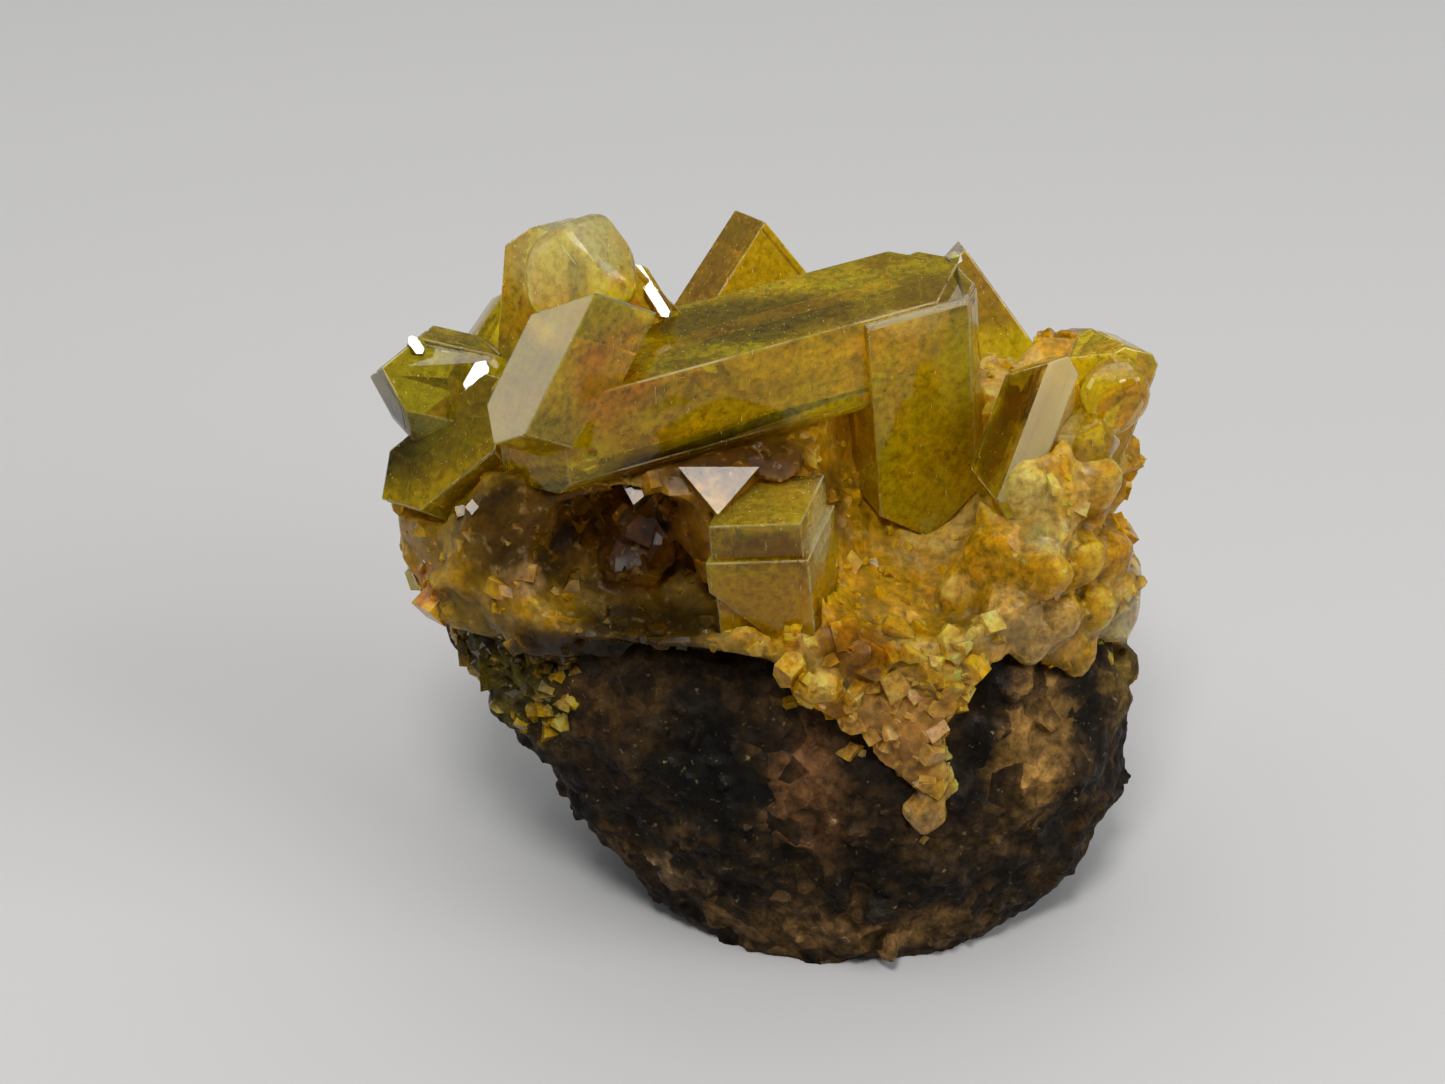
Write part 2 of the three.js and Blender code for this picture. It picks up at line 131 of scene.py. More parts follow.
def alone(piece: Object) -> None:
    """Selects one object, and nothing else.

    Args:
        piece: The object.
    """
    bpy.ops.object.select_all(action="DESELECT")
    piece.select_set(True)
    bpy.context.view_layer.objects.active = piece


@contextmanager
def editing(piece: Object) -> Iterator[bmesh.types.BMesh]:
    """Opens a piece in edit mode with nothing selected, and closes it afterwards.

    Args:
        piece: The object to edit.

    Yields:
        Its mesh, for choosing faces and edges.
    """
    alone(piece)
    bpy.ops.object.mode_set(mode="EDIT")
    bpy.ops.mesh.select_mode(type="FACE")
    bpy.ops.mesh.select_all(action="DESELECT")
    yield bmesh.from_edit_mesh(piece.data)
    bpy.ops.object.mode_set(mode="OBJECT")


def block(size: float, name: str) -> Object:
    """Adds a cube round the origin, to be cut to shape.

    Args:
        size: Its width.
        name: Its name.

    Returns:
        The cube.
    """
    bpy.ops.object.select_all(action="DESELECT")
    bpy.ops.mesh.primitive_cube_add(size=size)
    bpy.context.object.name = name
    return bpy.context.object


def cut_off(at: Vector, facing: Triple | Vector) -> None:
    """Cuts off what lies beyond a plane from the mesh in edit mode, and closes the cut.

    Args:
        at: A point of the plane.
        facing: The way to the side that goes.
    """
    bpy.ops.mesh.select_all(action="SELECT")
    bpy.ops.mesh.bisect(plane_co=at, plane_no=facing, use_fill=True, clear_outer=True)


def apply_modifier(piece: Object, kind: str, **settings: object) -> None:
    """Adds a modifier to a piece and applies it.

    Args:
        piece: The object to change.
        kind: The modifier's type.
        **settings: The modifier's own properties.
    """
    alone(piece)
    modifier = piece.modifiers.new(kind.lower(), kind)
    for name, value in settings.items():
        setattr(modifier, name, value)
    bpy.ops.object.modifier_apply(modifier=modifier.name)


def joined(pieces: list[Object], name: str) -> Object:
    """Joins objects into the first of them.

    Args:
        pieces: The objects, of which only the first is left.
        name: Its new name.

    Returns:
        The joined object.
    """
    bpy.ops.object.select_all(action="DESELECT")
    for piece in pieces:
        piece.select_set(True)
    bpy.context.view_layer.objects.active = pieces[0]
    bpy.ops.object.join()
    pieces[0].name = name
    return pieces[0]


def grown_together(piece: Object, others: list[Object]) -> None:
    """Unites closed solids with a piece, and uses them up.

    Args:
        piece: The piece that they grow from.
        others: The solids that grow on it.
    """
    group = bpy.data.collections.new("growing")
    for other in others:
        group.objects.link(other)
    apply_modifier(
        piece, "BOOLEAN", operation="UNION", operand_type="COLLECTION", collection=group, solver="MANIFOLD"
    )
    for other in others:
        bpy.data.objects.remove(other)
    bpy.data.collections.remove(group)


def mark(piece: Object, name: str, values: float | list[float]) -> None:
    """Gives the faces of a piece a named attribute, which its finish reads.

    Args:
        piece: The piece.
        name: The attribute's name.
        values: One value for all of them, or one for each.
    """
    each = values if isinstance(values, list) else [values] * len(piece.data.polygons)
    attribute = piece.data.attributes.get(name) or piece.data.attributes.new(name, "FLOAT", "FACE")
    attribute.data.foreach_set("value", each)


def copy_of(node: Object, name: str) -> Object:
    """Copies a node's solid as one merged mesh.

    Args:
        node: The node, which is left alone.
        name: The copy's name.

    Returns:
        The copy, with no material.
    """
    piece = bpy.data.objects.new(name, node.data.copy())
    bpy.context.scene.collection.objects.link(piece)
    piece.data.materials.clear()
    with editing(piece):
        bpy.ops.mesh.select_all(action="SELECT")
        bpy.ops.mesh.customdata_custom_splitnormals_clear()
        bpy.ops.mesh.remove_doubles(threshold=SAME_CORNER)
    return piece


def surface_of(piece: Object) -> BVHTree:
    """Takes a piece's surface as it is now, for finding the nearest point of it."""
    corners = [vertex.co.copy() for vertex in piece.data.vertices]
    return BVHTree.FromPolygons(corners, [tuple(face.vertices) for face in piece.data.polygons])


def is_convex(outline: list[Vector], normal: Vector) -> bool:
    """Tells whether a flat outline never turns inwards, seen against its normal."""
    pairs = zip(outline, outline[1:] + outline[:1], outline[2:] + outline[:2])
    return all((b - a).cross(c - b).dot(normal) > -STRAIGHT for a, b, c in pairs)


def turn_to(along: Vector, facing: Vector) -> Matrix:
    """Makes the turn that takes X to one direction, and Z to another that is square to it."""
    return Matrix((along, facing.cross(along), facing)).transposed().to_4x4()


def pull_back(piece: Object, surface: BVHTree, most: float) -> None:
    """Puts corners that an operator threw out too far back on the surface that they came from.

    Args:
        piece: The object to mend.
        surface: The surface before the operator.
        most: How far a corner may lie from it.
    """
    for vertex in piece.data.vertices:
        spot, _, _, strayed = surface.find_nearest(vertex.co)
        if strayed > most:
            vertex.co = spot


def dress(piece: Object, material: Material, degrees: float) -> None:
    """Gives a piece its finish, and shades it smooth across its flatter edges.

    Args:
        piece: The finished mesh.
        material: Its finish.
        degrees: The angle from which on an edge stays sharp.
    """
    piece.data.materials.clear()
    piece.data.materials.append(material)
    alone(piece)
    bpy.ops.object.shade_smooth_by_angle(angle=math.radians(degrees))


# ---------------------------------------------------------------- finishes


@dataclass(frozen=True)
class Cloud:
    """A cloudy pattern: the width of its larger clouds, how many finer ones they hold, and their strength."""

    size: float
    detail: float = 3.0
    roughness: float = 0.6

    def at(self, place: Socket | Node) -> dict:
        """Gives the inputs of a noise that follows coordinates."""
        return {"Vector": place, "Scale": 1 / self.size, "Detail": self.detail, "Roughness": self.roughness}


@dataclass(frozen=True)
class Span:
    """A stretch of a pattern's heights, from low to high, and the values that they become."""

    low: float
    high: float
    first: float
    last: float

    def of(self, value: Socket | Node) -> dict:
        """Gives the inputs of a range that takes a pattern."""
        limits = {"From Min": self.low, "From Max": self.high, "To Min": self.first, "To Max": self.last}
        return {"Value": value, **limits}


@dataclass(frozen=True)
class Patch:
    """A soft-edged place in a finish where its colour drifts to another one.

    Its middle, and how far it reaches along X, Y and Z, are in millimetres. Over the outer share of its
    reach it fades out.
    """

    at: Triple
    reach: Triple
    colour: str
    strength: float = 1.0
    fading: float = 0.6

    def share(self, tree: Tree, place: Node) -> Node:
        """Makes the patch's own pattern: its strength in the middle, and nothing past its reach.

        Args:
            tree: The material's node tree.
            place: The coordinates, in metres.

        Returns:
            The pattern.
        """
        ball = {"Vector": place, "Location": Vector(self.at) * MM, "Scale": Vector(self.reach) * MM}
        from_middle = add_node(tree, "Mapping", ball, vector_type="TEXTURE")
        inward = add_node(tree, "TexGradient", {"Vector": from_middle}, gradient_type="SPHERICAL")
        span = Span(0.0, self.fading, 0.0, self.strength)
        return add_node(tree, "MapRange", span.of(inward.outputs["Fac"]), interpolation_type="SMOOTHSTEP")

    def over(self, tree: Tree, place: Node, colour: Node) -> Node:
        """Lays the patch over a colour.

        Args:
            tree: The material's node tree.
            place: The coordinates, in metres.
            colour: The colour under it.

        Returns:
            The colour with the patch in it.
        """
        layers = {"Factor": self.share(tree, place), UNDER: colour, OVER: linear(self.colour)}
        return add_node(tree, "Mix", layers, data_type="RGBA")


class Finish:
    """What the finishes share: an empty material, and patterns that several nodes make."""

    name: str
    shades: Shades
    patches: tuple[Patch, ...]
    wander: Cloud
    drift: float
    # How the surface's sharpness sets the painted shade in hollows and the painted highlight on ridges.
    ridge_light_and_crevice_shade: Span = Span(0.42, 0.56, 0.4, 1.08)

    def start(self) -> tuple[Material, Tree, Socket]:
        """Opens a new material.

        Returns:
            The material, its empty node tree, and the object's own coordinates in metres.
        """
        material = bpy.data.materials.new(self.name)
        material.use_nodes = True
        tree = material.node_tree
        tree.nodes.clear()
        return material, tree, add_node(tree, "TexCoord").outputs["Object"]

    def wandering(self, tree: Tree, place: Socket) -> Node:
        """Pushes coordinates about, so that what follows them has no straight edge.

        Args:
            tree: The material's node tree.
            place: The coordinates.

        Returns:
            The pushed coordinates.
        """
        push = add_node(tree, "TexNoise", self.wander.at(place)).outputs["Color"]
        return self.pushed(tree, place, push, self.drift)

    def pushed(self, tree: Tree, place: Socket | Node, push: Socket, drift: float) -> Node:
        """Pushes coordinates about by a pattern.

        Args:
            tree: The material's node tree.
            place: The coordinates.
            push: The pattern, a colour whose grey leaves them where they are.
            drift: The length of the longest push.

        Returns:
            The pushed coordinates.
        """
        centred = add_node(tree, "VectorMath", {0: push, 1: (0.5, 0.5, 0.5)}, operation="SUBTRACT")
        drifts = (2 * drift, 2 * drift, 2 * drift)
        return add_node(tree, "VectorMath", {0: centred, 1: drifts, 2: place}, operation="MULTIPLY_ADD")

    def shaded(self, tree: Tree, cloud: Node, place: Node) -> Node:
        """Colours a pattern by its height, and lays the patches over it.

        Args:
            tree: The material's node tree.
            cloud: The pattern.
            place: The coordinates that the patches follow.

        Returns:
            The colour.
        """
        colour = add_node(tree, "ValToRGB", {"Fac": cloud}, self.shades)
        for patch in self.patches:
            colour = patch.over(tree, place, colour)
        return colour

    def with_painted_crevice_shade(self, tree: Tree, colour: Node, mottle: Node) -> Node:
        """Mottles a colour, with painted shade where the surface is hollow and painted highlight on ridges.

        Args:
            tree: The material's node tree.
            colour: The colour.
            mottle: The pattern that it is multiplied by.

        Returns:
            The colour, never brighter than white.
        """
        sharpness = add_node(tree, "NewGeometry").outputs["Pointiness"]
        ridge_light_and_crevice_shade = add_node(tree, "MapRange", self.ridge_light_and_crevice_shade.of(sharpness))
        both = add_node(tree, "Math", {0: ridge_light_and_crevice_shade, 1: mottle}, operation="MULTIPLY")
        layers = {"Factor": 1.0, UNDER: colour, OVER: both}
        return add_node(tree, "Mix", layers, data_type="RGBA", blend_type="MULTIPLY", clamp_result=True)


class Barite(Finish):
    """What crystals and crust share: a heavy sulphate that lets light through and takes its blue away."""

    absorbed: str
    density: float
    transmission: float
    ior: float
    sheen_of_faces: float
    glow: float
    glow_colour: Triple

    def fill(self, tree: Tree, colour: Node, rough: Node) -> None:
        """Makes the mineral itself: its see-through skin, the glow inside it and what it absorbs.

        Args:
            tree: The material's node tree.
            colour: The colour of its skin and its glow.
            rough: The roughness of its skin.
        """
        surface = add_node(
            tree,
            "BsdfPrincipled",
            {
                "Base Color": colour,
                "Roughness": rough,
                "IOR": self.ior,
                "Specular Tint": (self.sheen_of_faces, self.sheen_of_faces, self.sheen_of_faces, 1.0),
                "Transmission Weight": self.transmission,
                "Subsurface Weight": 1.0,
                "Subsurface Radius": self.glow_colour,
                "Subsurface Scale": self.glow,
            },
        )
        volume = add_node(tree, "VolumeAbsorption", {"Color": linear(self.absorbed), "Density": self.density})
        add_node(tree, "OutputMaterial", {"Surface": surface, "Volume": volume})


@dataclass(frozen=True)
class GoldenBarite(Barite):
    """Gemmy golden barite: a heavy sulphate crystal, grown with glassy flat faces.

    It lets light through and takes its blue away, so thick parts are deep olive gold. Clouds of tiny
    inclusions scatter light inside it, so its body glows. Its bruised edges are frosted white, partly as
    painted highlight, and some of its patches are painted light and shade.
    """

    name: str = "golden_barite"
    shades: Shades = ((0.34, "#f4e014"), (0.56, "#e4c812"), (0.72, "#b4980c"))
    bruised_and_highlit: str = "#fff0bc"
    absorbed: str = "#f2e634"
    density: float = 160.0  # per metre
    transmission: float = 0.85
    ior: float = 1.636
    sheen_of_faces: float = 0.35
    glow: float = 1.0 * MM
    glow_colour: Triple = (1.0, 0.8, 0.08)
    polish: float = 0.03
    dulling: float = 0.4
    frost_hides: float = 2.0
    cloud: Cloud = Cloud(4.5 * MM, 5.0, 0.62)
    grain: Cloud = Cloud(0.55 * MM, 3.0, 0.7)
    needle_width: float = 0.2 * MM
    needle_length: float = 1.6 * MM
    needles: Cloud = Cloud(1.0, 2.0)  # one needle wide and long
    flecks_and_glints: Span = Span(0.68, 0.74, 0.0, 0.8)
    mottle: Span = Span(0.32, 0.68, 0.55, 1.3)
    edge_patchiness: Span = Span(0.42, 0.6, 0.15, 0.9)
    wander: Cloud = Cloud(2.5 * MM)
    drift: float = 1.4 * MM
    patches: tuple[Patch, ...] = (
        # The bar: olive along the top of its front, and brown towards its foot and the cave, which is painted
        # shade, as the light from above fades inside it.
        Patch((-3.0, -6.5, 36.0), (15.0, 8.0, 4.2), "#563606"),
        Patch((-4.0, -6.0, 41.4), (16.0, 6.0, 1.9), "#ccb81a", 0.7),
        Patch((-1.5, -0.5, 44.4), (14.0, 4.5, 2.0), "#907816", 0.85),
        # The end block: a dark olive heart, a bright foot, and a yellow veil up its right edge. Its bright
        # yellow and its bright foot are painted glow, as of light shining through it from behind.
        Patch((10.5, -2.0, 37.0), (5.0, 6.0, 6.0), "#f0d410", 0.8),
        Patch((11.0, 1.5, 45.0), (5.0, 4.0, 1.6), "#a08418", 0.8),
        Patch((11.0, -1.5, 30.5), (4.0, 4.0, 3.2), "#fce820"),
        # The lump on the left, pale at its top and amber at its foot.
        Patch((-13.5, -0.5, 49.5), (6.5, 6.0, 5.5), "#fff4a4", 0.95),
        Patch((-9.0, -1.0, 45.0), (3.5, 4.0, 3.0), "#b88010", 0.8),
        # The upright crystal's amber side.
        Patch((-10.2, -8.2, 44.2), (4.5, 4.0, 5.0), "#e4a608"),
        # The olive crystals on the far left.
        Patch((-22.0, -3.0, 40.0), (8.0, 8.0, 8.0), "#a09420", 0.9),
        Patch((-25.5, -4.0, 37.0), (3.5, 4.0, 4.0), "#4c4a14", 0.9),
        # The crystals at the back.
        Patch((-1.8, 11.3, 42.0), (7.0, 7.0, 9.0), "#c09020", 0.7),
        Patch((16.0, 11.0, 41.0), (7.0, 6.0, 6.0), "#a47c3c"),
        Patch((13.0, 11.0, 33.0), (7.0, 6.0, 6.0), "#f0c830"),
        # The centre block, greyish at its top, which is a painted reflection, and amber below.
        Patch((0.8, -11.0, 36.5), (6.0, 5.0, 3.2), "#e8cc48", 0.85),
        Patch((0.8, -13.0, 34.0), (6.0, 4.0, 1.6), "#b48c10"),
        Patch((0.8, -12.0, 29.0), (7.0, 5.0, 5.0), "#ffc60c"),
        # The gold crystals on the right.
        Patch((20.0, -2.5, 38.0), (8.0, 6.0, 8.0), "#e0bc20", 0.7),
        Patch((17.0, -3.0, 40.2), (3.2, 3.4, 5.0), "#6c4c04", 0.95),
        Patch((15.0, -4.0, 36.0), (1.8, 3.0, 5.0), "#5c4406", 0.8),
    )
    # Paler and rougher places: veils of fine inclusions just under the faces, blurring what lies behind
    # them, and painted glows and highlights where light shines through or off a crystal.
    veils_and_painted_glows: tuple[Patch, ...] = (
        # Painted glow up the end block's right edge, as of light shining through from behind.
        Patch((13.2, -0.4, 40.2), (2.4, 3.0, 5.5), "#ffe61e"),
        # Painted highlight along the end block's top edge.
        Patch((10.5, -1.6, 44.4), (5.0, 1.8, 1.4), "#ffe870", 0.8),
        # Painted glow at the end block's foot.
        Patch((11.4, -1.5, 28.4), (1.2, 1.5, 1.2), "#fff060", 0.9),
        # A veil of fine inclusions in the pale lump on the left.
        Patch((-13.5, -1.5, 49.8), (5.5, 5.0, 4.5), "#fff2a4", 0.8),
        # Painted highlight on the centre block's right facets.
        Patch((3.7, -10.5, 33.8), (2.2, 4.5, 3.6), "#fff0b8", 0.95),
        # Painted reflection on the beige band of the right crystals.
        Patch((19.4, -4.0, 39.3), (1.8, 2.0, 5.0), "#f8e0a0", 0.8),
    )

    def make(self) -> Material:
        """Builds the material.

        Returns:
            The material.
        """
        material, tree, place = self.start()
        cloud = add_node(tree, "TexNoise", self.cloud.at(place))
        grain = add_node(tree, "TexNoise", self.grain.at(place))
        across = 1 / self.needle_width
        scale = (across, across, 1 / self.needle_length)
        drawn_out = add_node(tree, "Mapping", {"Vector": place, "Scale": scale})
        needles = add_node(tree, "TexNoise", self.needles.at(drawn_out))
        wandering = self.wandering(tree, place)
        colour = self.shaded(tree, cloud, wandering)
        # Paler places: veils of inclusions, and painted glows and highlights.
        for paler_patch in self.veils_and_painted_glows:
            colour = paler_patch.over(tree, wandering, colour)
        layers = {"Factor": 1.0, UNDER: colour, OVER: add_node(tree, "MapRange", self.mottle.of(grain))}
        colour = add_node(tree, "Mix", layers, data_type="RGBA", blend_type="MULTIPLY", clamp_result=True)
        # Pale needle flecks: partly fine inclusions, partly painted glints.
        flecks_and_glints = add_node(tree, "MapRange", self.flecks_and_glints.of(needles))
        # Pale edges: partly bruised wear, partly a painted highlight, patchy along their length.
        worn_and_highlit = add_node(tree, "Attribute", attribute_name="wear_and_highlight").outputs["Fac"]
        edge_patchiness = add_node(tree, "MapRange", self.edge_patchiness.of(cloud))
        wear_and_highlight = add_node(tree, "Math", {0: worn_and_highlit, 1: edge_patchiness}, operation="MULTIPLY", use_clamp=True)
        # Frosted faces are rough, and painted pale too, which is a painted reflection.
        # No fleck shows through a frosted skin.
        frost = add_node(tree, "Attribute", attribute_name="frost").outputs["Fac"]
        seen = {0: frost, 1: -self.frost_hides, 2: flecks_and_glints}
        pale = add_node(tree, "Math", seen, operation="MULTIPLY_ADD", use_clamp=True)
        for paler in (wear_and_highlight, frost):
            pale = add_node(tree, "Math", {0: pale, 1: paler}, operation="MAXIMUM")
        layers = {"Factor": pale, UNDER: colour, OVER: linear(self.bruised_and_highlit)}
        colour = add_node(tree, "Mix", layers, data_type="RGBA")
        dull = pale
        for paler_patch in self.veils_and_painted_glows:
            dull = add_node(tree, "Math", {0: dull, 1: paler_patch.share(tree, wandering)}, operation="MAXIMUM")
        rough = add_node(tree, "Math", {0: dull, 1: self.dulling, 2: self.polish}, operation="MULTIPLY_ADD")
        self.fill(tree, colour, rough)
        return material


@dataclass(frozen=True)
class HoneyCrust(Barite):
    """Massive barite crust: the same mineral as a cloudy mass of small crystals, stained honey brown.

    Its own small crystals are glassy, and the broken mass between them is duller. Its cream specks are
    painted glints, and some of its patches are painted light and shade.
    """

    name: str = "barite_crust"
    shades: Shades = ((0.36, "#bc900e"), (0.48, "#f8bc14"), (0.62, "#ffd670"))
    crust_glint_colour: str = "#c8a868"
    absorbed: str = "#f4da28"
    density: float = 70.0  # per metre
    transmission: float = 0.74
    ior: float = 1.636
    sheen_of_faces: float = 0.12
    glow: float = 0.6 * MM
    glow_colour: Triple = (1.0, 0.75, 0.08)
    cloud: Cloud = Cloud(4.0 * MM, 4.0)
    grain: Cloud = Cloud(0.6 * MM, 3.0, 0.7)
    crust_glint_cloud: Cloud = Cloud(0.9 * MM, 2.0)
    crust_glints: Span = Span(0.6, 0.7, 0.0, 0.6)
    mottle: Span = Span(0.3, 0.7, 0.45, 1.45)
    roughness: Span = Span(0.0, 1.0, 0.4, 0.18)
    wander: Cloud = Cloud(2.5 * MM)
    drift: float = 1.6 * MM
    patches: tuple[Patch, ...] = (
        # The cave under the bar, dark as painted shade over a dark stain, and the dark band along the foot
        # of the crust.
        Patch((-15.5, -7.5, 32.5), (8.0, 6.0, 6.5), "#4a360a", 0.95),
        Patch((-10.3, -9.1, 29.7), (2.8, 3.0, 2.6), "#1c1003", 0.9),
        Patch((-6.5, -5.0, 31.5), (13.0, 9.0, 7.0), "#3a2203"),
        Patch((-2.0, -6.5, 37.5), (10.0, 5.0, 4.0), "#644004"),
        Patch((-4.2, -8.0, 31.0), (3.4, 5.0, 3.6), "#a06c0a", 0.75),
        Patch((-8.0, -11.5, 25.5), (12.0, 6.0, 5.0), "#302004", 0.95),
        Patch((4.5, -5.5, 32.0), (4.5, 6.0, 4.0), "#7a5408", 0.9),
        # Behind the end block: painted light, a bright patch that shows through the block and lights it up.
        Patch((11.5, 7.0, 32.5), (8.0, 8.0, 7.0), "#ffe440"),
        # The left side: amber up the edge, olive at the rim, with a painted orange glow between them.
        Patch((-22.5, -5.0, 30.0), (4.0, 7.0, 7.0), "#cca626", 0.85),
        Patch((-18.5, -8.5, 22.0), (6.5, 6.0, 5.0), "#4e4610", 0.95),
        Patch((-15.2, -11.8, 25.2), (4.0, 4.0, 3.0), "#4e3408", 0.9),
        Patch((-20.2, -8.6, 26.8), (3.4, 4.0, 2.6), "#b08a1c", 0.85),
        Patch((-23.0, -6.0, 26.6), (2.2, 2.5, 2.4), "#e89a30"),
        Patch((-16.1, -10.3, 30.0), (2.0, 2.0, 2.0), "#c89a54"),
        # The gold middle, and the tongue that runs down over the rock.
        Patch((6.0, -9.5, 28.5), (8.0, 6.0, 4.0), "#e4ac12"),
        Patch((8.5, -14.5, 20.0), (6.0, 5.0, 7.0), "#e8ac5c", 0.85),
        Patch((6.0, -14.2, 27.0), (3.6, 3.6, 3.0), "#a86c0c", 0.9),
        # The right side: gold, with a greyish broken patch.
        Patch((19.0, -7.0, 29.5), (8.0, 7.0, 8.0), "#ffc428", 0.7),
        Patch((17.8, -11.4, 26.5), (5.0, 4.0, 4.0), "#e4bc70", 0.9),
        # The nub at the end of the tongue.
        Patch((10.7, -16.4, 14.0), (2.6, 2.6, 3.4), "#c09a60", 0.9),
        # The pale bump low on the right, the cream lumps and the amber edge above it. The bump's pale is
        # painted light, and the lumps' cream is painted highlight.
        Patch((24.5, -4.0, 24.0), (4.5, 5.0, 4.5), "#ffe09c"),
        Patch((17.2, -7.6, 35.2), (2.8, 3.0, 2.8), "#ffe484"),
        Patch((18.8, -8.0, 32.0), (2.4, 2.8, 2.2), "#ffe484"),
        Patch((23.4, -5.0, 31.0), (2.5, 3.0, 5.0), "#e0a828", 0.7),
    )

    def make(self) -> Material:
        """Builds the material.

        Returns:
            The material.
        """
        material, tree, place = self.start()
        cloud, grain, crust_glint_cloud = (
            add_node(tree, "TexNoise", kind.at(place)) for kind in (self.cloud, self.grain, self.crust_glint_cloud)
        )
        colour = self.shaded(tree, cloud, self.wandering(tree, place))
        # Cream specks: painted glints on the grains.
        crust_glints = add_node(tree, "MapRange", self.crust_glints.of(crust_glint_cloud))
        layers = {"Factor": crust_glints, UNDER: colour, OVER: linear(self.crust_glint_colour)}
        colour = add_node(tree, "Mix", layers, data_type="RGBA", blend_type="SCREEN")
        # Painted shade in hollows and painted highlight on ridges, over a mottle.
        colour = self.with_painted_crevice_shade(tree, colour, add_node(tree, "MapRange", self.mottle.of(grain)))
        glassy = add_node(tree, "Attribute", attribute_name="glassy").outputs["Fac"]
        rough = add_node(tree, "MapRange", self.roughness.of(glassy))
        self.fill(tree, colour, rough)
        return material


@dataclass(frozen=True)
class DarkRock(Finish):
    """Iron-stained host rock, broken and weathered: dull, grainy, nearly black with brown patches and painted
    glints.
    """

    name: str = "host_rock"
    shades: Shades = ((0.42, "#120c05"), (0.56, "#2c1e0c"), (0.74, "#4c381a"))
    rock_glint_colour: str = "#8c7a54"
    gloss: float = 0.08
    cloud: Cloud = Cloud(5.0 * MM, 6.0, 0.68)
    grain: Cloud = Cloud(0.9 * MM, 4.0, 0.7)
    grain_depth: float = 0.15 * MM
    rock_glint_cloud: Cloud = Cloud(0.6 * MM, 2.0)
    rock_glints: Span = Span(0.66, 0.76, 0.0, 0.4)
    mottle: Span = Span(0.3, 0.7, 0.25, 1.6)
    roughness: Span = Span(0.4, 0.7, 0.75, 0.4)
    fragment_size: float = 1.5 * MM
    fragment_drift: float = 1.1 * MM
    fragment_shades: Span = Span(0.0, 1.0, 0.6, 1.5)
    wander: Cloud = Cloud(2.0 * MM)
    drift: float = 1.2 * MM
    patches: tuple[Patch, ...] = (
        Patch((-4.0, -13.0, 17.0), (6.0, 5.0, 7.0), "#0a0804", 0.9),
        Patch((3.0, -14.4, 15.5), (3.6, 4.0, 7.0), "#56391f", 0.8),
        Patch((-6.5, -12.0, 6.0), (3.2, 4.0, 2.6), "#5e4a30", 0.8),
        Patch((18.5, -12.0, 17.5), (4.2, 4.0, 6.5), "#6e5024", 0.8),
        Patch((-16.5, -9.0, 20.0), (4.5, 5.0, 5.0), "#4a4010", 0.8),
        Patch((24.0, -4.0, 18.0), (4.0, 5.0, 4.0), "#5c4818", 0.8),
        Patch((-11.0, -11.0, 20.0), (6.0, 5.0, 4.0), "#33220c", 0.8),
        # Lighter brown low on the front: painted light that lifts the shade near the floor.
        Patch((6.0, -9.5, 3.5), (13.0, 8.0, 5.5), "#7c5c34", 0.8),
    )

    def make(self) -> Material:
        """Builds the material.

        Returns:
            The material.
        """
        material, tree, place = self.start()
        cloud, grain, rock_glint_cloud = (
            add_node(tree, "TexNoise", kind.at(place)) for kind in (self.cloud, self.grain, self.rock_glint_cloud)
        )
        # Each fragment has its own shade, and takes the colour of the patch that it mostly lies in.
        cells = add_node(tree, "TexVoronoi", {"Vector": place, "Scale": 1 / self.fragment_size})
        fragments = cells.outputs["Color"]
        shifted = self.pushed(tree, self.wandering(tree, place), fragments, self.fragment_drift)
        colour = self.shaded(tree, cloud, shifted)
        # Cream specks: painted glints.
        rock_glints = add_node(tree, "MapRange", self.rock_glints.of(rock_glint_cloud))
        layers = {"Factor": rock_glints, UNDER: colour, OVER: linear(self.rock_glint_colour)}
        colour = add_node(tree, "Mix", layers, data_type="RGBA")
        drawn = add_node(tree, "SeparateColor", {"Color": fragments}).outputs["Red"]
        shade = add_node(tree, "MapRange", self.fragment_shades.of(drawn))
        mottle = add_node(tree, "MapRange", self.mottle.of(grain))
        mottle = add_node(tree, "Math", {0: mottle, 1: shade}, operation="MULTIPLY")
        # Painted shade in hollows and painted highlight on ridges, over a mottle.
        colour = self.with_painted_crevice_shade(tree, colour, mottle)
        rough = add_node(tree, "MapRange", self.roughness.of(grain))
        bump = add_node(tree, "Bump", {"Strength": 0.7, "Distance": self.grain_depth, "Height": grain})
        skin = {"Base Color": colour, "Roughness": rough, "Specular IOR Level": self.gloss, "Normal": bump}
        surface = add_node(tree, "BsdfPrincipled", skin)
        add_node(tree, "OutputMaterial", {"Surface": surface})
        return material


@dataclass(frozen=True)
class PaleCard(Finish):
    """A sheet of pale matt card: even, with no gloss."""

    name: str = "pale_card"
    colour: str = "#8c8b8a"
    roughness: float = 0.7

    def make(self) -> Material:
        """Builds the material.

        Returns:
            The material.
        """
        material, tree, _ = self.start()
        skin = {"Base Color": linear(self.colour), "Roughness": self.roughness}
        add_node(tree, "OutputMaterial", {"Surface": add_node(tree, "BsdfPrincipled", skin)})
        return material


# ---------------------------------------------------------------- the crystals

# How far the normals of barite's prism and dome lean from its own a and c axes.
PRISM_FROM_A = math.radians(39.2)
DOME_FROM_C = math.radians(52.7)
# The signs that take one face of a form to its four.
SIGNS = ((1, 1), (1, -1), (-1, 1), (-1, -1))


class Form(Enum):
    """The crystal forms of barite, as the outward directions of their faces on its own axes."""

    BROAD = ((0, 0, 1), (0, 0, -1))
    PRISM = tuple((a * math.cos(PRISM_FROM_A), b * math.sin(PRISM_FROM_A), 0) for a, b in SIGNS)
    DOME = tuple((0, b * math.sin(DOME_FROM_C), c * math.cos(DOME_FROM_C)) for b, c in SIGNS)


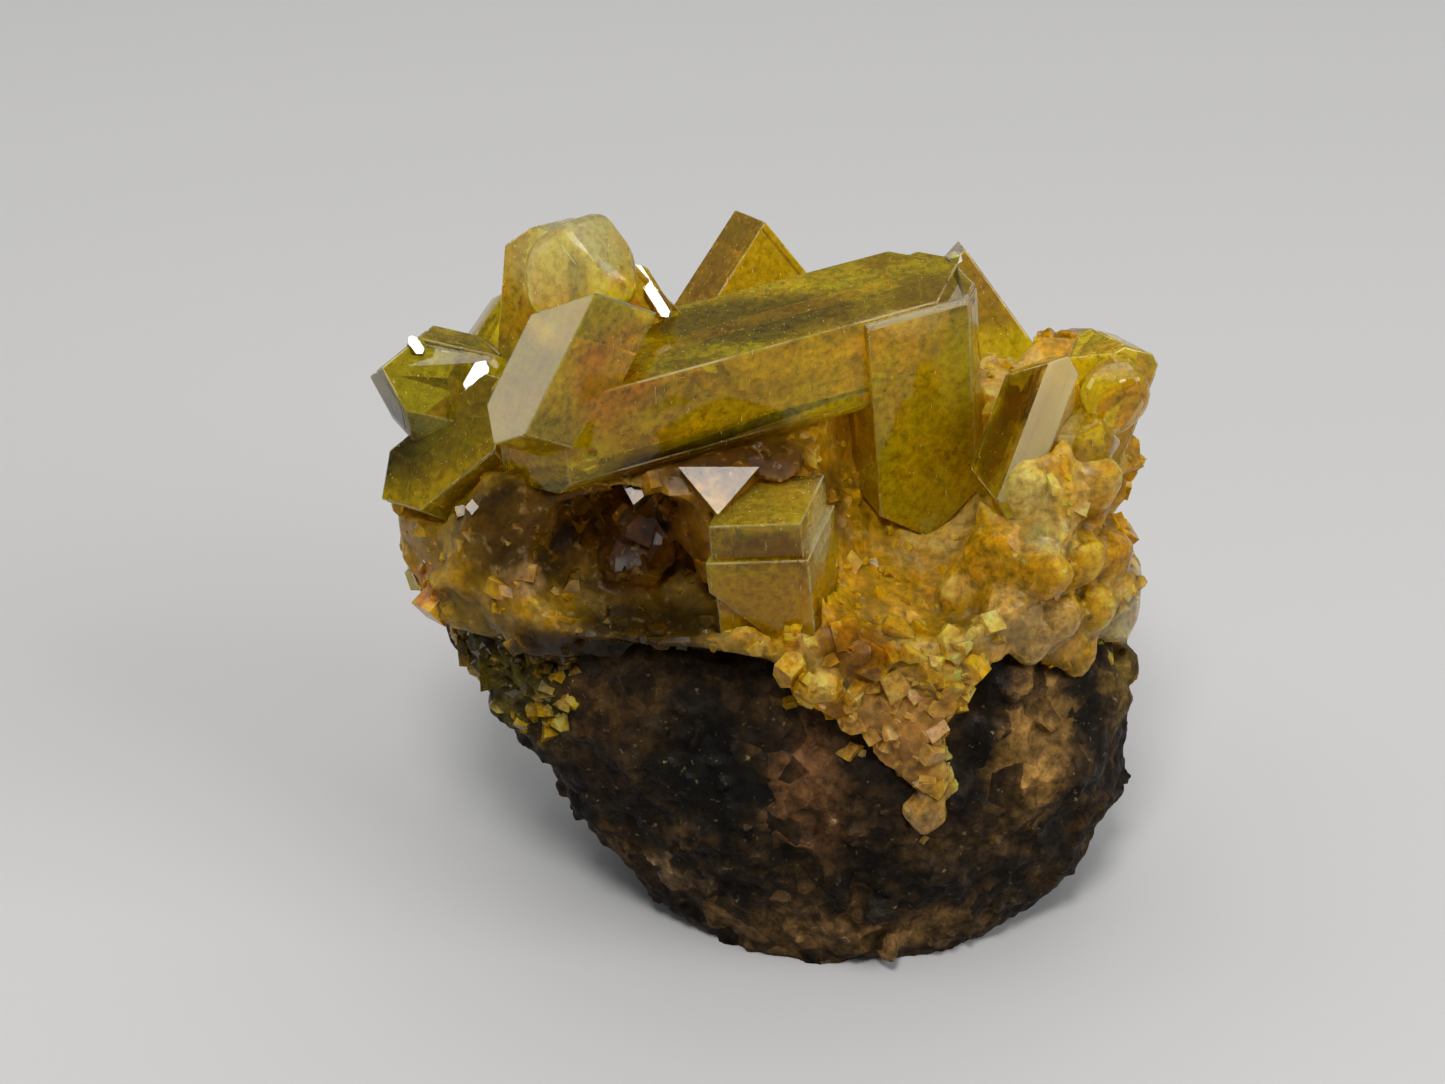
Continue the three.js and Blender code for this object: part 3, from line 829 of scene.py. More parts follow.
@dataclass(frozen=True)
class Crystal:
    """A single crystal: its centre, the ways its long axis and its broad face point, and its habit.

    The distances are from its centre to the faces of each form, in millimetres. Where it is broken
    off, the break lies as far from the centre as the vector is long, square to it. The block that it
    is cut from is spare times as wide as the farthest of those faces is away, and an edge rounded by
    growth is as wide as its rounding's share of the prism's distance.
    """

    at: Triple
    long: Triple
    face: Triple
    broad: float
    prism: float
    dome: float = 0.0
    broken: Triple | None = None
    spare: float = 6.0
    rounding: float = 0.45

    def model(self, name: str) -> Object:
        """Cuts the crystal out of a block along its faces.

        Args:
            name: The crystal's name.

        Returns:
            The crystal, a closed mesh in its place.
        """
        piece = block(self.spare * MM * max(self.broad, self.prism, self.dome), name)
        with editing(piece):
            habit = {Form.BROAD: self.broad, Form.PRISM: self.prism, Form.DOME: self.dome}
            for form, distance in habit.items():
                for facing in form.value if distance else ():
                    cut_off(Vector(facing) * distance * MM, facing)
        along = Vector(self.long).normalized()
        facing = (Vector(self.face) - along * along.dot(Vector(self.face))).normalized()
        piece.data.transform(turn_to(along, facing))
        if self.broken:
            with editing(piece):
                cut_off(Vector(self.broken) * MM, self.broken)
        piece.data.transform(Matrix.Translation(Vector(self.at) * MM))
        return piece

    def rounded(self, name: str) -> Object:
        """Models the crystal with its edges rounded by growth.

        Args:
            name: The crystal's name.

        Returns:
            The crystal.
        """
        piece = self.model(name)
        apply_modifier(piece, "BEVEL", width=self.rounding * self.prism * MM, segments=4, limit_method="NONE")
        return piece


@dataclass(frozen=True)
class FrostAndReflection:
    """A frosted skin, painted pale as a painted reflection, on the part of a crystal's face that lies
    round a point, in millimetres.

    It takes in what is level with the point within its depth, and faces as it does within its leaning.
    """

    at: Triple
    facing: Triple
    strength: float
    depth: float = 0.25 * MM
    reach: float = 6 * MM
    leaning: float = 0.6

    def holds(self, face: bpy.types.MeshPolygon) -> bool:
        """Tells whether a face of the mesh is frosted.

        Args:
            face: The face.

        Returns:
            True if it is.
        """
        facing = Vector(self.facing).normalized()
        away = face.center - Vector(self.at) * MM
        level = abs(away.dot(facing)) < self.depth and away.length < self.reach
        return level and face.normal.dot(facing) > self.leaning


@dataclass(frozen=True)
class HighlitRub:
    """A run of edges that is worn wider than the rest and painted paler, as a painted highlight: its
    corners in millimetres, and its width.

    An edge of the mesh is a stretch of it if its ends are near the run, past none of its corners by
    more than a share of the way to the next, and it isn't shorter than the least length.
    """

    corners: tuple[Triple, ...]
    width: float
    near: float = 0.35 * MM
    past: float = 0.1
    least: float = 0.6 * MM

    def holds(self, edge: bmesh.types.BMEdge) -> bool:
        """Tells whether an edge of the mesh is a stretch of the run.

        Args:
            edge: The edge.

        Returns:
            True if it is.
        """
        spots = [Vector(at) * MM for at in self.corners]
        for start, end in zip(spots, spots[1:]):
            nearest = [intersect_point_line(corner.co, start, end) for corner in edge.verts]
            on_it = all((a.co - spot).length < self.near for a, (spot, _) in zip(edge.verts, nearest))
            beside = all(-self.past < share < 1 + self.past for _, share in nearest)
            if on_it and beside and edge.calc_length() > self.least:
                return True
        return False


@dataclass(frozen=True)
class CrystalPiece:
    """A crystal, or crystals that have grown through each other, with the wear on its edges, partly painted
    highlight.

    Edges sharper than keen degrees are worn, faces that meet flatter than level degrees are one face,
    and edges flatter than soft degrees are shaded smooth. The wear values, a pale paint that is partly
    painted highlight, are those of whole faces, worn edges and rubbed edges. A chip's cutter has its
    middle above the edge, by a share of its size.
    A terrace keeps from its face's edge by a share of the face's width, and a corner that the insets
    throw out by more than slack times its rise is put back.
    """

    node: str
    seed: int
    growths: tuple[Crystal, ...] = ()
    laths: tuple[Crystal, ...] = ()
    frosts_and_reflections: tuple[FrostAndReflection, ...] = ()
    highlit_rubs: tuple[HighlitRub, ...] = ()
    edge: float = 0.1 * MM
    keen: float = 26.0
    level: float = 1.5
    merged: float = 0.05 * MM
    soft: float = 18.0
    wear_and_highlight: tuple[float, float, float] = (0.0, 1.0, 4.0)
    chips: int = 8
    chip_least: float = 0.25 * MM
    chip_most: float = 0.6 * MM
    chip_above: float = 0.62
    chip_wear_and_highlight: float = 0.6
    terrace_area: float = 7.0 * MM * MM
    terrace_rise: float = 0.035 * MM
    terrace_least: float = 0.1
    terrace_most: float = 0.3
    terrace_slack: float = 2.5

    def build(self, node: Object, material: Material) -> Object:
        """Builds the piece round its node.

        Args:
            node: The node that it replaces.
            material: Its finish.

        Returns:
            The finished piece.
        """
        chance = random.Random(self.seed)
        piece = copy_of(node, f"{self.node}_grown")
        if self.growths:
            grown_together(piece, [growth.rounded(f"growth_{i}") for i, growth in enumerate(self.growths)])
        with editing(piece):
            bpy.ops.mesh.select_all(action="SELECT")
            bpy.ops.mesh.remove_doubles(threshold=self.merged)
            bpy.ops.mesh.dissolve_limited(angle_limit=math.radians(self.level))
        self._wear_and_highlight_edges(piece)
        self._raise_terraces(piece, chance)
        self._frost(piece)
        if self.laths:
            self._set_laths(piece)
        self._chip_edges(piece, chance)
        dress(piece, material, self.soft)
        return piece

    def _wear_and_highlight_edges(self, piece: Object) -> None:
        """Wears the outward edges to narrow frosted bevels, and the rubbed ones to wide ones, and paints them
        pale, partly as a painted highlight.

        Args:
            piece: The crystals.
        """
        sharp = surface_of(piece)
        for _ in self.wear_and_highlight:
            piece.data.materials.append(None)
        for highlit_rub in self.highlit_rubs:
            self._bevel(piece, highlit_rub.holds, highlit_rub.width, segments=3, kind=2)
        self._bevel(piece, self._is_keen, self.edge, segments=2, kind=1)
        pull_back(piece, sharp, max([self.edge, *(highlit_rub.width for highlit_rub in self.highlit_rubs)]))
        mark(piece, "wear_and_highlight", [self.wear_and_highlight[face.material_index] for face in piece.data.polygons])
        piece.data.polygons.foreach_set("material_index", [0] * len(piece.data.polygons))
        piece.data.materials.clear()

    def _is_keen(self, edge: bmesh.types.BMEdge) -> bool:
        """Tells whether an edge stands outwards, and sharply enough to wear."""
        return len(edge.link_faces) == 2 and edge.calc_face_angle_signed(0.0) > math.radians(self.keen)

    def _bevel(
        self,
        piece: Object,
        chosen: Callable[[bmesh.types.BMEdge], bool],
        width: float,
        segments: int,
        kind: int,
    ) -> None:
        """Bevels chosen edges.

        Args:
            piece: The crystals.
            chosen: Tells whether an edge is one of them.
            width: How far the bevel reaches from the edge.
            segments: How many faces it has across.
            kind: Which of the wear values it takes, by its number.
        """
        with editing(piece) as mesh:
            bpy.ops.mesh.select_mode(type="EDGE")
            for edge in mesh.edges:
                edge.select_set(chosen(edge))
            bmesh.update_edit_mesh(piece.data)
            bpy.ops.mesh.bevel(offset=width, segments=segments, clamp_overlap=False, material=kind)

    def _raise_terraces(self, piece: Object, chance: random.Random) -> None:
        """Raises low growth terraces on the larger faces.

        Args:
            piece: The crystals.
            chance: What draws how far each terrace keeps from its face's edge.
        """
        before = surface_of(piece)
        spots = []
        for face in piece.data.polygons:
            outline = [piece.data.vertices[i].co for i in face.vertices]
            length = sum((a - b).length for a, b in zip(outline, outline[1:] + outline[:1]))
            if face.area > self.terrace_area and is_convex(outline, face.normal):
                spots.append((face.center.copy(), face.normal.copy(), 2 * face.area / length))
        with editing(piece) as mesh:
            for centre, normal, width in spots:
                mesh.faces.ensure_lookup_table()
                face = min(
                    mesh.faces,
                    key=lambda f: (f.calc_center_median() - centre).length + (f.normal - normal).length * MM,
                )
                bpy.ops.mesh.select_all(action="DESELECT")
                face.select_set(True)
                margin = width * chance.uniform(self.terrace_least, self.terrace_most)
                bpy.ops.mesh.inset(thickness=margin, depth=0)
                bpy.ops.mesh.inset(thickness=self.terrace_rise, depth=self.terrace_rise)
                mesh = bmesh.from_edit_mesh(piece.data)
        pull_back(piece, before, self.terrace_slack * self.terrace_rise)

    def _frost(self, piece: Object) -> None:
        """Marks the faces that have a frosted skin, which is painted pale as a reflection.

        Args:
            piece: The crystals.
        """
        frost = [0.0] * len(piece.data.polygons)
        for reflecting_frost in self.frosts_and_reflections:
            for face in piece.data.polygons:
                if reflecting_frost.holds(face):
                    frost[face.index] = reflecting_frost.strength
        mark(piece, "frost", frost)

    def _set_laths(self, piece: Object) -> None:
        """Sets the laths, whose edges are keen, in the worn faces.

        Args:
            piece: The crystals.
        """
        laths = joined([lath.model(f"lath_{i}") for i, lath in enumerate(self.laths)], "laths")
        apply_modifier(piece, "BOOLEAN", operation="UNION", object=laths, use_self=True)
        bpy.data.objects.remove(laths)

    def _chip_edges(self, piece: Object, chance: random.Random) -> None:
        """Knocks small chips out of the worn edges.

        Args:
            piece: The crystals.
            chance: What draws their places, sizes and turns.
        """
        worn_and_highlit = piece.data.attributes["wear_and_highlight"].data
        edges = [face for face in piece.data.polygons if worn_and_highlit[face.index].value > self.wear_and_highlight[0]]
        cutters = []
        for face in chance.sample(edges, self.chips):
            size = chance.uniform(self.chip_least, self.chip_most)
            turn = [chance.uniform(0, math.tau) for _ in range(3)]
            at = face.center + face.normal * size * self.chip_above
            bpy.ops.mesh.primitive_ico_sphere_add(subdivisions=1, radius=size, location=at, rotation=turn)
            bpy.ops.object.transform_apply(location=True, rotation=True, scale=True)
            cutters.append(bpy.context.object)
        cutter = joined(cutters, "cutter")
        mark(cutter, "wear_and_highlight", self.chip_wear_and_highlight)
        apply_modifier(piece, "BOOLEAN", operation="DIFFERENCE", object=cutter, use_self=True)
        bpy.data.objects.remove(cutter)


# ---------------------------------------------------------------- the crust and the rock

# Lumps of the crust, rounded by growth.
LUMPS = (
    Crystal((17.0, -6.9, 35.0), (0.2, -0.1, 1.0), (0.1, -1.0, 0.3), 1.2, 1.7, 1.3),
    Crystal((18.8, -7.6, 32.0), (1.0, -0.2, 0.5), (0.1, -1.0, 0.5), 1.3, 1.5, 1.3),
    Crystal((22.0, -5.4, 34.6), (0.4, 0.2, 1.0), (0.6, -1.0, 0.2), 1.6, 1.7, 1.7),
    Crystal((21.0, -7.6, 30.0), (0.6, 0.3, 1.0), (0.6, -1.0, 0.4), 1.6, 1.5, 1.7),
    Crystal((24.0, -3.0, 24.0), (0.0, 0.1, 1.0), (1.0, -0.8, 0.3), 2.1, 2.8, 2.4),
    Crystal((19.6, -9.8, 26.8), (0.3, 0.1, 1.0), (0.4, -1.0, 0.3), 1.3, 1.5, 1.6),
    Crystal((15.8, -10.4, 28.0), (1.0, 0.2, 0.3), (0.1, -1.0, 0.5), 1.3, 1.5, 1.5),
    Crystal((15.2, -8.0, 30.4), (0.3, 0.1, 1.0), (-0.1, -1.0, 0.5), 1.5, 2.1, 2.0),
    Crystal((17.6, -9.2, 29.6), (0.2, 0.1, 1.0), (0.1, -1.0, 0.4), 1.5, 1.9, 1.8),
    Crystal((13.4, -8.2, 27.8), (1.0, 0.1, 0.3), (-0.1, -1.0, 0.7), 1.3, 1.7, 1.8),
    Crystal((17.6, -10.6, 25.4), (0.2, 0.1, 1.0), (0.2, -1.0, 0.3), 1.3, 1.6, 1.6),
    Crystal((23.2, -5.4, 28.6), (0.2, 0.1, 1.0), (0.9, -1.0, 0.2), 1.5, 1.8, 1.8),
    Crystal((21.2, -8.4, 22.6), (0.4, 0.2, 1.0), (0.6, -1.0, 0.3), 1.2, 1.5, 1.4),
    Crystal((21.8, -7.5, 25.5), (1.0, 0.5, 0.3), (0.6, -1.0, 0.4), 1.5, 1.6, 1.7),
    Crystal((10.7, -15.6, 14.6), (0.2, 0.3, 1.0), (0.3, -1.0, 0.4), 1.1, 1.3, 1.6),
)

# Crystals of a middling size that stand out of the crust.
KNOBS = (
    Crystal(
        (-3.16, -7.6, 36.49), (-0.999, 0.044, -0.028), (-0.05, -0.66, 0.75), 1.6, 2.05, 0.0, (0.0, 0.22, 0.2)
    ),
    Crystal(
        (-8.45, -6.1, 34.8), (-0.98, 0.177, 0.091), (-0.05, -0.66, 0.75), 1.2, 1.15, 0.0, (0.0, 0.3, 0.27)
    ),
    Crystal((-8.55, -6.74, 31.39), (-0.891, -0.378, -0.25), (0.1, -0.7, 0.7), 1.0, 0.9),
    Crystal((-19.55, -7.8, 33.9), (1.0, 0.0, -0.027), (0.02, -0.667, 0.744), 0.5, 0.35),
)

# The habits of the druse's small crystals, as the distances to their broad, prism and dome faces.
HABITS = ((0.45, 0.8, 0.7), (0.7, 0.75, 0.0), (0.35, 0.9, 0.6), (0.6, 0.7, 0.75))

# How far the crust creeps down over the rock as separate small crystals.
CREEP = 2.2 * MM


class Pattern(Enum):
    """The patterns that can push a surface in and out."""

    CELLS = "VORONOI"
    CLOUDS = "CLOUDS"


@dataclass(frozen=True)
class Relief:
    """A relief pushed into a surface by a pattern: the width of its cells, and its depth in all.

    Where the pattern is at the level, the surface stays where it is.
    """

    pattern: Pattern
    size: float
    depth: float
    level: float

    def press(self, piece: Object) -> None:
        """Pushes the surface of a piece in and out.

        Args:
            piece: The object to change.
        """
        texture = bpy.data.textures.new(f"{piece.name}_{self.pattern.name.lower()}", self.pattern.value)
        texture.noise_scale = self.size
        push = {"strength": self.depth, "mid_level": self.level}
        apply_modifier(piece, "DISPLACE", texture=texture, texture_coords="LOCAL", **push)


@dataclass(frozen=True)
class Growth:
    """A sowing of small crystals or grains: how many, and their least and greatest size.

    Sizes are in millimetres, and so are the middle and the width of the place that it keeps to.
    """

    count: int
    least: float
    most: float
    at: Triple | None = None
    within: float = 0.0

    def holds(self, spot: Vector) -> bool:
        """Tells whether a spot lies where the sowing grows."""
        return self.at is None or (spot - Vector(self.at) * MM).length < self.within * MM


class Scatter:
    """Small solids strewn over a surface, partly sunk in it."""

    def __init__(self, seed: int, shapes: list[Object]) -> None:
        """Keeps the shapes to strew.

        Args:
            seed: The start of the random draws.
            shapes: The shapes, about 1 mm in size, which are used up by finish.
        """
        self.chance = random.Random(seed)
        self.shapes = shapes

    def direction(self) -> Vector:
        """Draws a vector that points any way."""
        return Vector([self.chance.gauss(0, 1) for _ in range(3)])

    def strew(
        self,
        surface: Object,
        growth: Growth,
        sunk: float,
        clear_of: Iterable[BVHTree] = (),
        room: float = 0.0,
        creeping_from: BVHTree | None = None,
    ) -> list[Object]:
        """Strews one sowing over a surface.

        Args:
            surface: The piece that carries them.
            growth: How many there are, and their sizes.
            sunk: How deep their middles lie, as a share of their size.
            clear_of: The surfaces that they keep away from, if any.
            room: How far they stay from those, as a share of their greatest size.
            creeping_from: The surface that they thin out from, where they don't grow everywhere.

        Returns:
            The solids, each an object of its own.
        """
        faces = [(face.center.copy(), face.normal.copy()) for face in surface.data.polygons]
        reached = list(accumulate(face.area for face in surface.data.polygons))
        away = room * MM * growth.most
        strewn = []
        while len(strewn) < growth.count:
            centre, normal = self.chance.choices(faces, cum_weights=reached)[0]
            if not growth.holds(centre) or any(tree.find_nearest(centre)[3] < away for tree in clear_of):
                continue
            if creeping_from and creeping_from.find_nearest(centre)[3] > CREEP * self.chance.random() ** 2:
                continue
            size = growth.least + (growth.most - growth.least) * self.chance.random() ** 2
            grain = bpy.data.objects.new("grain", self.chance.choice(self.shapes).data.copy())
            along = self.direction().normalized()
            facing = along.cross(self.direction()).normalized()
            at = Matrix.Translation(centre - normal * size * sunk * MM)
            grain.data.transform(at @ turn_to(along, facing) @ Matrix.Scale(size, 4))
            strewn.append(grain)
        return strewn

    def finish(self) -> None:
        """Removes the shapes that the copies were made from."""
        for shape in self.shapes:
            bpy.data.objects.remove(shape)


@dataclass(frozen=True)
class CrustPiece:
    """The golden crust: a broken crystalline mass, with a druse of small crystals standing out of it.

    Within blend of a lump it is smoothed, and within skin of one it shines. Its small crystals are sunk
    by a share of their size, and keep from the large ones by a share of their greatest size.
    """

    node: str = "barite_crust"
    seed: int = 21
    voxel: float = 0.4 * MM
    swell: float = 0.16 * MM
    relief: Relief = Relief(Pattern.CELLS, 1.5 * MM, -0.5 * MM, 0.3)
    kept: float = 0.3
    blend: float = 0.6 * MM
    skin: float = 0.35 * MM
    shine: float = 0.8
    soft: float = 14.0
    sowings: tuple[Growth, ...] = (
        Growth(230, 0.8, 1.7),
        Growth(560, 0.45, 1.0),
        Growth(800, 0.25, 0.5),
        Growth(140, 0.4, 1.3, (8.0, -14.5, 22.0), 7.5),
    )
    creeping: tuple[Growth, ...] = (Growth(50, 0.6, 1.1), Growth(240, 0.35, 0.8))
    rim: tuple[Growth, ...] = (
        Growth(44, 0.8, 1.7, (-20.5, -6.5, 24.0), 4.5),
        Growth(34, 0.7, 1.3, (-18.0, -8.5, 21.5), 4.5),
        Growth(150, 0.4, 1.0, (-18.5, -8.0, 22.0), 6.5),
    )
    room: float = 0.4
    sunk: float = 0.45
    creeping_sunk: float = 0.2
    rim_sunk: float = 0.4

    def build(self, node: Object, rock: Object, material: Material, neighbours: list[BVHTree]) -> Object:
        """Builds the piece round its node.

        Args:
            node: The node that it replaces.
            rock: The rock's node, over which it creeps.
            material: Its finish.
            neighbours: The surfaces of the large crystals, which no small one covers.

        Returns:
            The finished piece.
        """
        lumps = joined([lump.rounded(f"lump_{i}") for i, lump in enumerate(LUMPS)], "lumps")
        lumpy = surface_of(lumps)
        piece = self._mass(node, lumps, lumpy)
        druse = self._druse(piece, rock, neighbours, lumpy)
        grown_together(piece, druse)
        dress(piece, material, self.soft)
        return piece

    def _mass(self, node: Object, lumps: Object, lumpy: BVHTree) -> Object:
        """Makes the broken mass, with the lumps blended into it.

        Args:
            node: The node that it is made from.
            lumps: The lumps, as one object, which is used up.
            lumpy: Their surface.

        Returns:
            The mass, marked where it is glassy.
        """
        piece = copy_of(node, "crust_grown")
        apply_modifier(piece, "REMESH", mode="VOXEL", voxel_size=self.voxel)
        apply_modifier(piece, "DISPLACE", strength=self.swell, mid_level=0.0)
        self.relief.press(piece)
        piece = joined([piece, lumps], "crust_grown")
        apply_modifier(piece, "REMESH", mode="VOXEL", voxel_size=self.voxel)
        near = [v.index for v in piece.data.vertices if lumpy.find_nearest(v.co)[3] < self.blend]
        piece.vertex_groups.new(name="rounded").add(near, 1.0, "REPLACE")
        apply_modifier(piece, "SMOOTH", factor=0.5, iterations=4, vertex_group="rounded")
        apply_modifier(piece, "DECIMATE", ratio=self.kept)
        away = [lumpy.find_nearest(face.center)[3] for face in piece.data.polygons]
        mark(piece, "glassy", [self.shine if distance < self.skin else 0.0 for distance in away])
        return piece

    def _druse(self, mass: Object, rock: Object, neighbours: list[BVHTree], lumpy: BVHTree) -> list[Object]:
        """Makes the knobs, and the small crystals on the mass and on the rock beside it.

        Args:
            mass: The crust's mass.
            rock: The rock's node.
            neighbours: The surfaces of the large crystals.
            lumpy: The surface of the lumps.

        Returns:
            The crystals, each an object of its own.
        """
        nowhere = ((0, 0, 0), (1, 0, 0), (0, 0, 1))
        scatter = Scatter(self.seed, [Crystal(*nowhere, *habit).model("habit") for habit in HABITS])
        grown = [knob.model(f"knob_{i}") for i, knob in enumerate(KNOBS)]
        clear_of = neighbours + [surface_of(knob) for knob in grown] + [lumpy]
        for sowing in self.sowings:
            grown += scatter.strew(mass, sowing, self.sunk, clear_of, self.room)
        under = copy_of(rock, "under")
        apply_modifier(under, "REMESH", mode="VOXEL", voxel_size=self.voxel)
        crust = surface_of(mass)
        for sowing in self.creeping:
            grown += scatter.strew(under, sowing, self.creeping_sunk, creeping_from=crust)
        for sowing in self.rim:
            grown += scatter.strew(under, sowing, self.rim_sunk)
        bpy.data.objects.remove(under)
        for crystal in grown:
            mark(crystal, "glassy", 1.0)
        scatter.finish()
        return grown


@dataclass(frozen=True)
class RockPiece:
    """The host rock, broken and grainy.

    A fragment is a block with flat cuts, each between the nearest and the farthest from its middle, in
    millimetres.
    """

    node: str = "host_rock"
    seed: int = 5
    voxel: float = 0.28 * MM
    kept: float = 0.6
    sowings: tuple[Growth, ...] = (Growth(26, 1.0, 1.7), Growth(220, 0.7, 1.3), Growth(700, 0.35, 0.8))
    room: float = 0.5
    sunk: float = 0.6
    reliefs: tuple[Relief, ...] = (
        Relief(Pattern.CELLS, 3.0 * MM, 0.75 * MM, 0.4),
        Relief(Pattern.CLOUDS, 1.0 * MM, 0.4 * MM, 0.5),
    )
    fragments: int = 6
    fragment: float = 2.2 * MM
    cuts: int = 9
    nearest_cut: float = 0.5
    farthest_cut: float = 0.95
    soft: float = 25.0

    def build(self, node: Object, material: Material, crust: BVHTree) -> Object:
        """Builds the piece round its node.

        Args:
            node: The node that it replaces.
            material: Its finish.
            crust: The crust's surface, which no fragment covers.

        Returns:
            The finished piece.
        """
        mass = copy_of(node, "rock_mass")
        scatter = Scatter(self.seed, [self._fragment(i) for i in range(self.fragments)])
        grains = []
        for sowing in self.sowings:
            grains += scatter.strew(mass, sowing, self.sunk, [crust], self.room)
        scatter.finish()
        for grain in grains:
            bpy.context.scene.collection.objects.link(grain)
        piece = joined([mass, *grains], "rock_mass")
        apply_modifier(piece, "REMESH", mode="VOXEL", voxel_size=self.voxel)
        for relief in self.reliefs:
            relief.press(piece)
        apply_modifier(piece, "DECIMATE", ratio=self.kept)
        for vertex in piece.data.vertices:
            vertex.co.z = max(vertex.co.z, 0.0)
        dress(piece, material, self.soft)
        return piece

    def _fragment(self, number: int) -> Object:
        """Breaks an angular fragment out of a block by flat cuts.

        Args:
            number: Which of the fragments it is.

        Returns:
            The fragment.
        """
        chance = random.Random(self.seed + number)
        piece = block(self.fragment, "fragment")
        with editing(piece):
            for _ in range(self.cuts):
                facing = Vector([chance.gauss(0, 1) for _ in range(3)]).normalized()
                cut_off(facing * chance.uniform(self.nearest_cut, self.farthest_cut) * MM, facing)
        return piece


# ---------------------------------------------------------------- the studio


@dataclass(frozen=True)
class Softbox:
    """A soft square light that faces the cluster, and isn't seen through the crystals."""

    name: str
    direction: Triple
    distance: float
    size: float
    watts: float

    def build(self, aim: Vector) -> None:
        """Hangs the light so that it faces a point.

        Args:
            aim: The point.
        """
        data = bpy.data.lights.new(self.name, "AREA")
        data.shape = "SQUARE"
        data.size = self.size
        data.energy = self.watts
        light = bpy.data.objects.new(self.name, data)
        light.visible_transmission = False
        bpy.context.scene.collection.objects.link(light)
        light.location = aim + Vector(self.direction).normalized() * self.distance
        light.rotation_euler = (aim - light.location).to_track_quat("-Z", "Y").to_euler()


@dataclass(frozen=True)
class Studio:
    """The pale floor, the soft light and the camera.

    The camera looks at the aim, in millimetres, from its distance and elevation. Its lens is such that
    its focal length is focal_pixels of a picture that is picture_width of them wide.
    """

    aim: Triple = (-2.988, -1.958, 27.5)
    elevation: float = 33.0
    distance: float = 190 * MM
    picture_width: float = 1445.0
    focal_pixels: float = 2741.0
    sensor: float = 36.0
    nearest: float = 0.01
    floor: float = 3.0
    sky: str = "#dfe4ea"
    sky_strength: float = 0.25
    softboxes: tuple[Softbox, ...] = (
        Softbox("overhead", (0.0, 0.3, 0.95), 0.6, 0.9, 5.0),
        Softbox("left", (-0.97, 0.04, 0.25), 0.5, 0.2, 0.6),
        Softbox("right", (0.75, -0.35, 0.55), 0.6, 0.35, 3.0),
        Softbox("front", (-0.08, -0.44, 0.89), 0.6, 0.145, 3.8),
    )

    def build(self) -> None:
        """Lays the floor, hangs the lights and sets up the camera."""
        aim = Vector(self.aim) * MM
        bpy.ops.object.select_all(action="DESELECT")
        bpy.ops.mesh.primitive_plane_add(size=self.floor)
        floor = bpy.context.object
        floor.name = "studio_floor"
        floor.data.materials.append(PaleCard().make())
        world = bpy.data.worlds.new("studio")
        world.use_nodes = True
        light = world.node_tree.nodes["Background"].inputs
        light["Color"].default_value = linear(self.sky)
        light["Strength"].default_value = self.sky_strength
        bpy.context.scene.world = world
        bpy.context.scene.view_settings.view_transform = "Standard"
        for softbox in self.softboxes:
            softbox.build(aim)
        data = bpy.data.cameras.new("camera")
        data.sensor_width = self.sensor
        data.lens = self.focal_pixels * self.sensor / self.picture_width
        data.clip_start = self.nearest
        camera = bpy.data.objects.new("camera", data)
        bpy.context.scene.collection.objects.link(camera)
        tilt = math.radians(self.elevation)
        camera.location = aim + Vector((0, -math.cos(tilt), math.sin(tilt))) * self.distance
        camera.rotation_euler = (math.radians(90) - tilt, 0, 0)
        bpy.context.scene.camera = camera


# ---------------------------------------------------------------- the cluster

